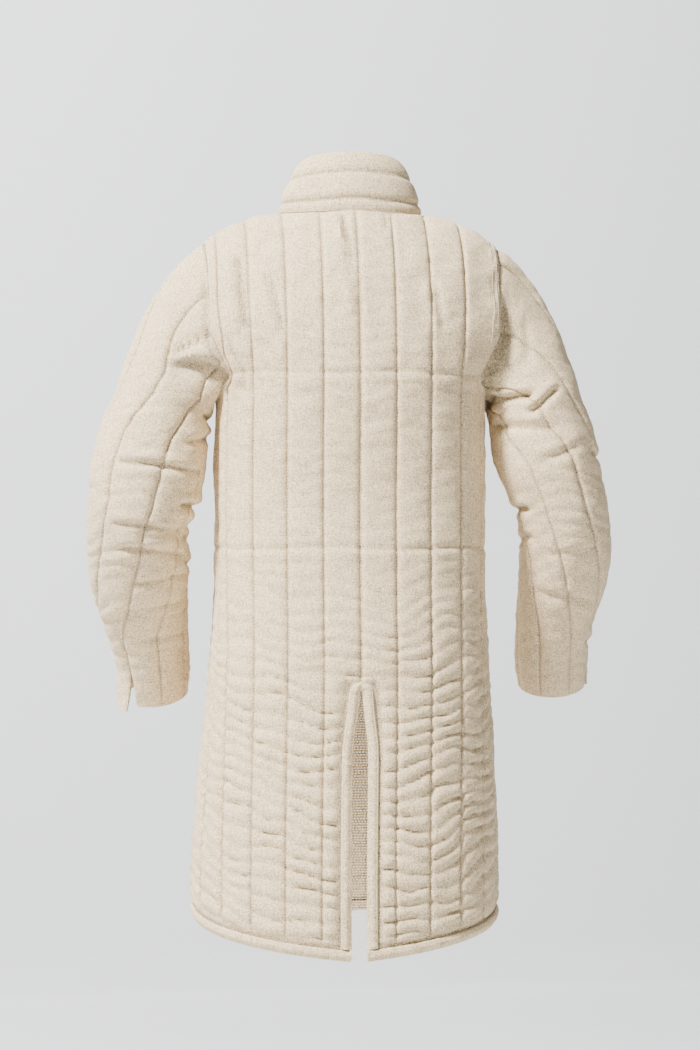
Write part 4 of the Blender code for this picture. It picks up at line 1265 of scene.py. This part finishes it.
def stitchRow(points, normals, pitch=None):
    # middle, direction and outward side of every stitch along a line
    pitch = pitch or stitch["pitch"]
    wanted, lengths = evenSteps(points, pitch)
    middles = (wanted[:-1] + wanted[1:]) / 2

    def at(where, values):
        return np.stack([np.interp(where, lengths, values[:, i]) for i in range(3)], axis=1)

    way = at(middles + 0.001, points) - at(middles - 0.001, points)
    return at(middles, points), unit(way), unit(at(middles, normals))


def stitchObject(name, rowsOfStitches):
    template = bmesh.new()
    bmesh.ops.create_uvsphere(template, u_segments=5, v_segments=4, radius=0.5)
    shape = np.array([v.co[:] for v in template.verts])
    faces = [[v.index for v in f.verts] for f in template.faces]
    template.free()
    place, way, out = (np.concatenate(column) for column in zip(*rowsOfStitches))
    sideways = unit(np.cross(way, out))
    out = np.cross(sideways, way)
    place = place + out * stitch["above"]
    size = shape * np.array((stitch["thickness"] * 1.15, stitch["thickness"], stitch["length"]))
    points = (place[:, None] + sideways[:, None] * size[None, :, :1] + out[:, None] * size[None, :, 1:2]
              + way[:, None] * size[None, :, 2:])
    data = bpy.data.meshes.new(name)
    every = []
    for i in range(len(place)):
        shift = i * len(shape)
        every += [[index + shift for index in face] for face in faces]
    data.from_pydata(points.reshape(-1, 3).tolist(), [], every)
    data.shade_smooth()
    thing = bpy.data.objects.new(name, data)
    bpy.context.collection.objects.link(thing)
    return thing


def linesOn(thing, columns, byRow=False):
    # the finished groove lines: points in order along each stitched column (or row)
    grid = readVectors(thing.data, "grid")
    points = readPoints(thing.data)
    normals = unit(readVectors(thing.data, "normal"))
    a, b = (1, 0) if byRow else (0, 1)
    found = []
    for column in columns:
        on = np.nonzero(np.abs(grid[:, a] - column) < 0.01)[0]
        on = on[np.argsort(grid[on, b], kind="stable")]
        if len(on) < 4:
            continue
        splits = np.nonzero(np.diff(grid[on, b]) > 3)[0]
        for part in np.split(on, splits + 1):
            if len(part) > 3:
                found.append((points[part], normals[part]))
    return found


finish = {
    "canvasTint": (0.745, 0.575, 0.345),
    "bindingTint": (0.745, 0.575, 0.345),
    "threadTint": (0.830, 0.700, 0.500),
    "fleckTint": (0.200, 0.140, 0.080),
    "yarn": 0.00060,          # distance between yarns
    "drift": 14.0,            # how far the yarns wander
    "weaveDepth": 0.00028,
    "roughness": 0.92,
}


def node(tree, kind, **settings):
    made = tree.nodes.new(kind)
    for key, value in settings.items():
        setattr(made, key, value)
    return made


def mathNode(tree, operation, first, second=None):
    made = node(tree, "ShaderNodeMath", operation=operation)
    for i, value in enumerate((first, second)):
        if value is None:
            continue
        if isinstance(value, (int, float)):
            made.inputs[i].default_value = value
        else:
            tree.links.new(value, made.inputs[i])
    return made.outputs[0]


def noiseNode(tree, vector, scale, detail):
    made = node(tree, "ShaderNodeTexNoise")
    made.inputs["Scale"].default_value = scale
    made.inputs["Detail"].default_value = detail
    made.inputs["Roughness"].default_value = 0.6
    tree.links.new(vector, made.inputs["Vector"])
    return made.outputs["Fac"]


def stretched(tree, vector, size):
    made = node(tree, "ShaderNodeMapping")
    made.inputs["Scale"].default_value = size
    tree.links.new(vector, made.inputs["Vector"])
    return made.outputs["Vector"]


def rampNode(tree, value, low, high, first, last):
    made = node(tree, "ShaderNodeMapRange")
    made.inputs["From Min"].default_value = low
    made.inputs["From Max"].default_value = high
    made.inputs["To Min"].default_value = first
    made.inputs["To Max"].default_value = last
    tree.links.new(value, made.inputs["Value"])
    return made.outputs["Result"]


def wovenGroup():
    # plain weave canvas of natural cotton: colour, with painted shade in grooves and creases, roughness and
    # height
    tree = bpy.data.node_groups.new("wovenCanvas", "ShaderNodeTree")
    tree.interface.new_socket("Tint", in_out="INPUT", socket_type="NodeSocketColor")
    tree.interface.new_socket("Color", in_out="OUTPUT", socket_type="NodeSocketColor")
    tree.interface.new_socket("Roughness", in_out="OUTPUT", socket_type="NodeSocketFloat")
    tree.interface.new_socket("Height", in_out="OUTPUT", socket_type="NodeSocketFloat")
    given = node(tree, "NodeGroupInput")
    result = node(tree, "NodeGroupOutput")
    cloth = node(tree, "ShaderNodeUVMap", uv_map="weave").outputs["UV"]
    solid = node(tree, "ShaderNodeTexCoord").outputs["Object"]
    parts = node(tree, "ShaderNodeSeparateXYZ")
    tree.links.new(cloth, parts.inputs[0])
    turns = 2 * math.pi / finish["yarn"] / 2
    drift = noiseNode(tree, solid, 55.0, 2.0)
    sway = noiseNode(tree, solid, 47.0, 2.0)
    phases = []
    for i, bend in enumerate((drift, sway)):
        straight = mathNode(tree, "MULTIPLY", parts.outputs[i], turns)
        phases.append(mathNode(tree, "ADD", straight, mathNode(tree, "MULTIPLY", bend, finish["drift"])))
    warp = mathNode(tree, "SINE", phases[0])
    weft = mathNode(tree, "SINE", phases[1])
    weave = mathNode(tree, "MULTIPLY", warp, weft)
    acrossYarn = noiseNode(tree, stretched(tree, cloth, (900, 60, 1)), 1.0, 3.0)
    alongYarn = noiseNode(tree, stretched(tree, cloth, (60, 900, 1)), 1.0, 3.0)
    grain = noiseNode(tree, solid, 560.0, 2.0)
    soft = noiseNode(tree, solid, 26.0, 3.0)
    broad = noiseNode(tree, solid, 5.0, 2.0)
    yarns = mathNode(tree, "ADD", acrossYarn, alongYarn)
    tone = mathNode(tree, "ADD", rampNode(tree, yarns, 0.7, 1.3, -0.28, 0.24),
                    rampNode(tree, grain, 0.32, 0.68, -0.46, 0.38))
    tone = mathNode(tree, "ADD", tone, rampNode(tree, soft, 0.3, 0.7, -0.035, 0.035))
    tone = mathNode(tree, "ADD", tone, rampNode(tree, broad, 0.3, 0.7, -0.03, 0.03))
    tone = mathNode(tree, "ADD", tone, mathNode(tree, "MULTIPLY", weave, 0.012))
    # painted shade: the second fact darkens the colour by up to 40% on stitch lines, seams and deep creases
    notes = node(tree, "ShaderNodeAttribute", attribute_name="facts")
    split = node(tree, "ShaderNodeSeparateXYZ")
    tree.links.new(notes.outputs["Vector"], split.inputs[0])
    groove = rampNode(tree, split.outputs[1], 0.30, 1.0, 0.0, -0.40)
    tone = mathNode(tree, "ADD", tone, groove)
    tone = mathNode(tree, "ADD", tone, 1.0)
    shade = node(tree, "ShaderNodeMix", data_type="RGBA", blend_type="MULTIPLY")
    shade.inputs["Factor"].default_value = 1.0
    grey = node(tree, "ShaderNodeCombineColor")
    for i in range(3):
        tree.links.new(tone, grey.inputs[i])
    tree.links.new(given.outputs["Tint"], shade.inputs["A"])
    tree.links.new(grey.outputs[0], shade.inputs["B"])
    # seed husks left in the yarn
    cells = node(tree, "ShaderNodeTexVoronoi")
    cells.inputs["Scale"].default_value = 95.0
    bent = node(tree, "ShaderNodeVectorMath", operation="ADD")
    wobble = node(tree, "ShaderNodeTexNoise")
    wobble.inputs["Scale"].default_value = 400.0
    tree.links.new(solid, wobble.inputs["Vector"])
    small = node(tree, "ShaderNodeVectorMath", operation="SCALE")
    small.inputs["Scale"].default_value = 0.0012
    tree.links.new(wobble.outputs["Color"], small.inputs[0])
    tree.links.new(solid, bent.inputs[0])
    tree.links.new(small.outputs[0], bent.inputs[1])
    tree.links.new(bent.outputs[0], cells.inputs["Vector"])
    chosen = node(tree, "ShaderNodeSeparateColor")
    tree.links.new(cells.outputs["Color"], chosen.inputs[0])
    size = rampNode(tree, chosen.outputs[0], 0.86, 1.0, 0.0, 0.075)
    fleck = mathNode(tree, "SUBTRACT", size, cells.outputs["Distance"])
    fleck = rampNode(tree, fleck, 0.0, 0.03, 0.0, 0.75)
    mixed = node(tree, "ShaderNodeMix", data_type="RGBA")
    mixed.inputs["B"].default_value = (*finish["fleckTint"], 1)
    tree.links.new(fleck, mixed.inputs["Factor"])
    tree.links.new(shade.outputs["Result"], mixed.inputs["A"])
    tree.links.new(mixed.outputs["Result"], result.inputs["Color"])
    rough = rampNode(tree, grain, 0.2, 0.8, finish["roughness"] - 0.06, finish["roughness"] + 0.04)
    tree.links.new(rough, result.inputs["Roughness"])
    height = mathNode(tree, "ADD", mathNode(tree, "MULTIPLY", weave, 0.06), yarns)
    height = mathNode(tree, "ADD", height, mathNode(tree, "MULTIPLY", grain, 0.8))
    tree.links.new(height, result.inputs["Height"])
    return tree


def clothMaterial(name, group, tint):
    made = bpy.data.materials.new(name)
    made.use_nodes = True
    tree = made.node_tree
    surface = tree.nodes["Principled BSDF"]
    surface.inputs["Specular IOR Level"].default_value = 0.25
    surface.inputs["Sheen Weight"].default_value = 0.10
    surface.inputs["Sheen Roughness"].default_value = 0.55
    woven = node(tree, "ShaderNodeGroup", node_tree=group)
    woven.inputs["Tint"].default_value = (*tint, 1)
    bump = node(tree, "ShaderNodeBump")
    bump.inputs["Distance"].default_value = finish["weaveDepth"]
    bump.inputs["Strength"].default_value = 1.0
    tree.links.new(woven.outputs["Color"], surface.inputs["Base Color"])
    tree.links.new(woven.outputs["Roughness"], surface.inputs["Roughness"])
    tree.links.new(woven.outputs["Height"], bump.inputs["Height"])
    tree.links.new(bump.outputs["Normal"], surface.inputs["Normal"])
    return made


def plainMaterial(name, tint, roughness):
    made = bpy.data.materials.new(name)
    made.use_nodes = True
    surface = made.node_tree.nodes["Principled BSDF"]
    surface.inputs["Base Color"].default_value = (*tint, 1)
    surface.inputs["Roughness"].default_value = roughness
    surface.inputs["Specular IOR Level"].default_value = 0.2
    return made


def measured(thing):
    # half the closed surface is the cloth that was cut
    mesh = bmesh.new()
    mesh.from_mesh(thing.data)
    area = sum(f.calc_area() for f in mesh.faces) / 2
    mesh.free()
    return area


def dress(thing, node_, material):
    thing.data.materials.clear()
    thing.data.materials.append(material)
    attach(thing, "root")
    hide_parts(node_)
    print(f"{thing.name}: cloth {measured(thing):.4f} m2, faces {len(thing.data.polygons)}")


group = wovenGroup()
canvas = clothMaterial("naturalCanvas", group, finish["canvasTint"])
bindingCanvas = clothMaterial("bindingCanvas", group, finish["bindingTint"])
thread = plainMaterial("linenThread", finish["threadTint"], 0.8)

print("back panel")
back = panelForm("backPanel", 0, 0, backCreases)
half = quilting["lines"] * len(quilting["columns"]) + 2 * len(quilting["sideColumns"])
lineColumns = [len(quilting["columns"]) * i for i in range(1, quilting["lines"] + 1)]
lineColumns += [half - len(quilting["sideColumns"])]
backLines = linesOn(back, [half - c for c in lineColumns] + [half + c for c in lineColumns] + [half])
closeWall(back)

print("fronts")
fronts, frontLines = {}, {}
for side, word in ((1, "Left"), (-1, "Right")):
    fronts[side] = panelForm("front" + word, 180, side, frontCreases)
    frontLines[side] = linesOn(fronts[side], lineColumns)
    closeWall(fronts[side])

print("collar")
collarThing = collarForm("standCollar")
collarLines = linesOn(collarThing, collar["lineRows"], byRow=True)
closeWall(collarThing)

print("sleeves")
sleeves, sleeveLines = {}, {}
for word, arm in (("Left", leftArm), ("Right", rightArm)):
    made = sleeveForm("sleeve" + word, arm)
    sleeves[word] = made
    sleeveLines[word] = linesOn(made, [c * len(sleeve["columns"]) for c in range(sleeve["channels"])])
    closeWall(made)

print("bindings")
vent, ventSeam, ventOut = ventStrip()
hems = {word: hemStrip("hemBinding" + word, side) for word, side in (("Left", 1), ("Right", -1))}
frontEdges = {word: frontStrip("frontBinding" + word, side) for word, side in (("Left", 1), ("Right", -1))}

print("stitches")
fine = stitch["pitch"] * 0.8
stitched = {
    "backStitches": [stitchRow(*line) for line in backLines],
    "frontStitchesLeft": [stitchRow(*line) for line in frontLines[1]],
    "frontStitchesRight": [stitchRow(*line) for line in frontLines[-1]],
    "collarStitches": [stitchRow(*line) for line in collarLines],
    "sleeveStitchesLeft": [stitchRow(*line) for line in sleeveLines["Left"]],
    "sleeveStitchesRight": [stitchRow(*line) for line in sleeveLines["Right"]],
    "bindingStitches": [stitchRow(ventSeam, ventOut, fine)]
    + [stitchRow(made[1], made[2], fine) for made in (*hems.values(), *frontEdges.values())],
}
seams = {}
for name, rowsOfStitches in stitched.items():
    thing = seams[name] = stitchObject(name, rowsOfStitches)
    thing.data.materials.append(thread)
    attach(thing, "root")
    print(f"{name}: {len(thing.data.polygons)} faces")

print("finishes")
dress(back, "back", canvas)
for side, word in ((1, "Left"), (-1, "Right")):
    low = word.lower()
    dress(fronts[side], "front_" + low, canvas)
    dress(sleeves[word], "sleeve_" + low, canvas)
dress(collarThing, "collar", canvas)
dress(vent, "vent_binding", bindingCanvas)
for word in ("Left", "Right"):
    low, front = word.lower(), "front" + word
    dress(hems[word][0], "hem_binding_" + low, bindingCanvas)
    dress(frontEdges[word][0], "front_binding_" + low, bindingCanvas)

studio = {
    "floor": -1.46,
    "floorTint": (0.74, 0.75, 0.76),
    "keyPlace": (2.5, 1.9, 3.2),
    "keyPower": 980,
    "keySize": 0.6,
    "fillPlace": (-1.6, 3.9, 0.9),
    "fillPower": 44,
    "frontPlace": (-1.9, -3.4, 1.7),
    "frontPower": 330,
    "air": 0.07,
    "airSeen": 0.62,       # how bright it looks in the camera
    "turn": 7.0,
    "distance": 3.7,
    "height": -0.4387,
    "lens": 90.6,
}

print("studio")
mesh = bmesh.new()
bmesh.ops.create_grid(mesh, x_segments=1, y_segments=40, size=1.0)
for vert in mesh.verts:
    far = 1 - (vert.co.y + 1) / 2
    run = far * 9.0
    vert.co = (vert.co.x * 7, 3.0 - min(run, 5.0), studio["floor"] + max(0, run - 5.0) ** 1.6 * 0.5)
floorMesh = bpy.data.meshes.new("studioFloor")
mesh.to_mesh(floorMesh)
mesh.free()
floorMesh.shade_smooth()
floor = bpy.data.objects.new("studioFloor", floorMesh)
bpy.context.collection.objects.link(floor)
paper = plainMaterial("palePaper", studio["floorTint"], 0.9)
floorMesh.materials.append(paper)
# from behind, the paper is clear, so that the front can be looked at too
tree = paper.node_tree
behind = node(tree, "ShaderNodeNewGeometry")
clear = node(tree, "ShaderNodeBsdfTransparent")
chosenSide = node(tree, "ShaderNodeMixShader")
tree.links.new(behind.outputs["Backfacing"], chosenSide.inputs[0])
tree.links.new(tree.nodes["Principled BSDF"].outputs[0], chosenSide.inputs[1])
tree.links.new(clear.outputs[0], chosenSide.inputs[2])
tree.links.new(chosenSide.outputs[0], tree.nodes["Material Output"].inputs["Surface"])


def areaLight(name, place, aim, power, size):
    lamp = bpy.data.lights.new(name, "AREA")
    lamp.energy = power
    lamp.size = size
    thing = bpy.data.objects.new(name, lamp)
    thing.location = place
    thing.rotation_euler = (Vector(aim) - Vector(place)).to_track_quat("-Z", "Y").to_euler()
    bpy.context.collection.objects.link(thing)


areaLight("key", studio["keyPlace"], (0, 0, -0.45), studio["keyPower"], studio["keySize"])
areaLight("fill", studio["fillPlace"], (0, 0, -0.45), studio["fillPower"], 2.0)
areaLight("front", studio["frontPlace"], (0, 0, -0.45), studio["frontPower"], 2.0)
world = bpy.data.worlds.new("studioAir")
world.use_nodes = True
air = world.node_tree.nodes["Background"]
air.inputs["Color"].default_value = (0.94, 0.97, 1.0, 1)
seen = node(world.node_tree, "ShaderNodeLightPath").outputs["Is Camera Ray"]
strength = rampNode(world.node_tree, seen, 0.0, 1.0, studio["air"], studio["airSeen"])
world.node_tree.links.new(strength, air.inputs["Strength"])
bpy.context.scene.world = world

lensData = bpy.data.cameras.new("mainCamera")
lensData.lens = studio["lens"]
lensData.sensor_width = 36
lensData.clip_end = 50
camera = bpy.data.objects.new("mainCamera", lensData)
swing = math.radians(studio["turn"])
distance = studio["distance"]
aim = Vector((0, 0, studio["height"]))
camera.location = (distance * math.sin(swing), distance * math.cos(swing), studio["height"])
camera.rotation_euler = (aim - camera.location).to_track_quat("-Z", "Y").to_euler()
bpy.context.collection.objects.link(camera)
bpy.context.scene.camera = camera
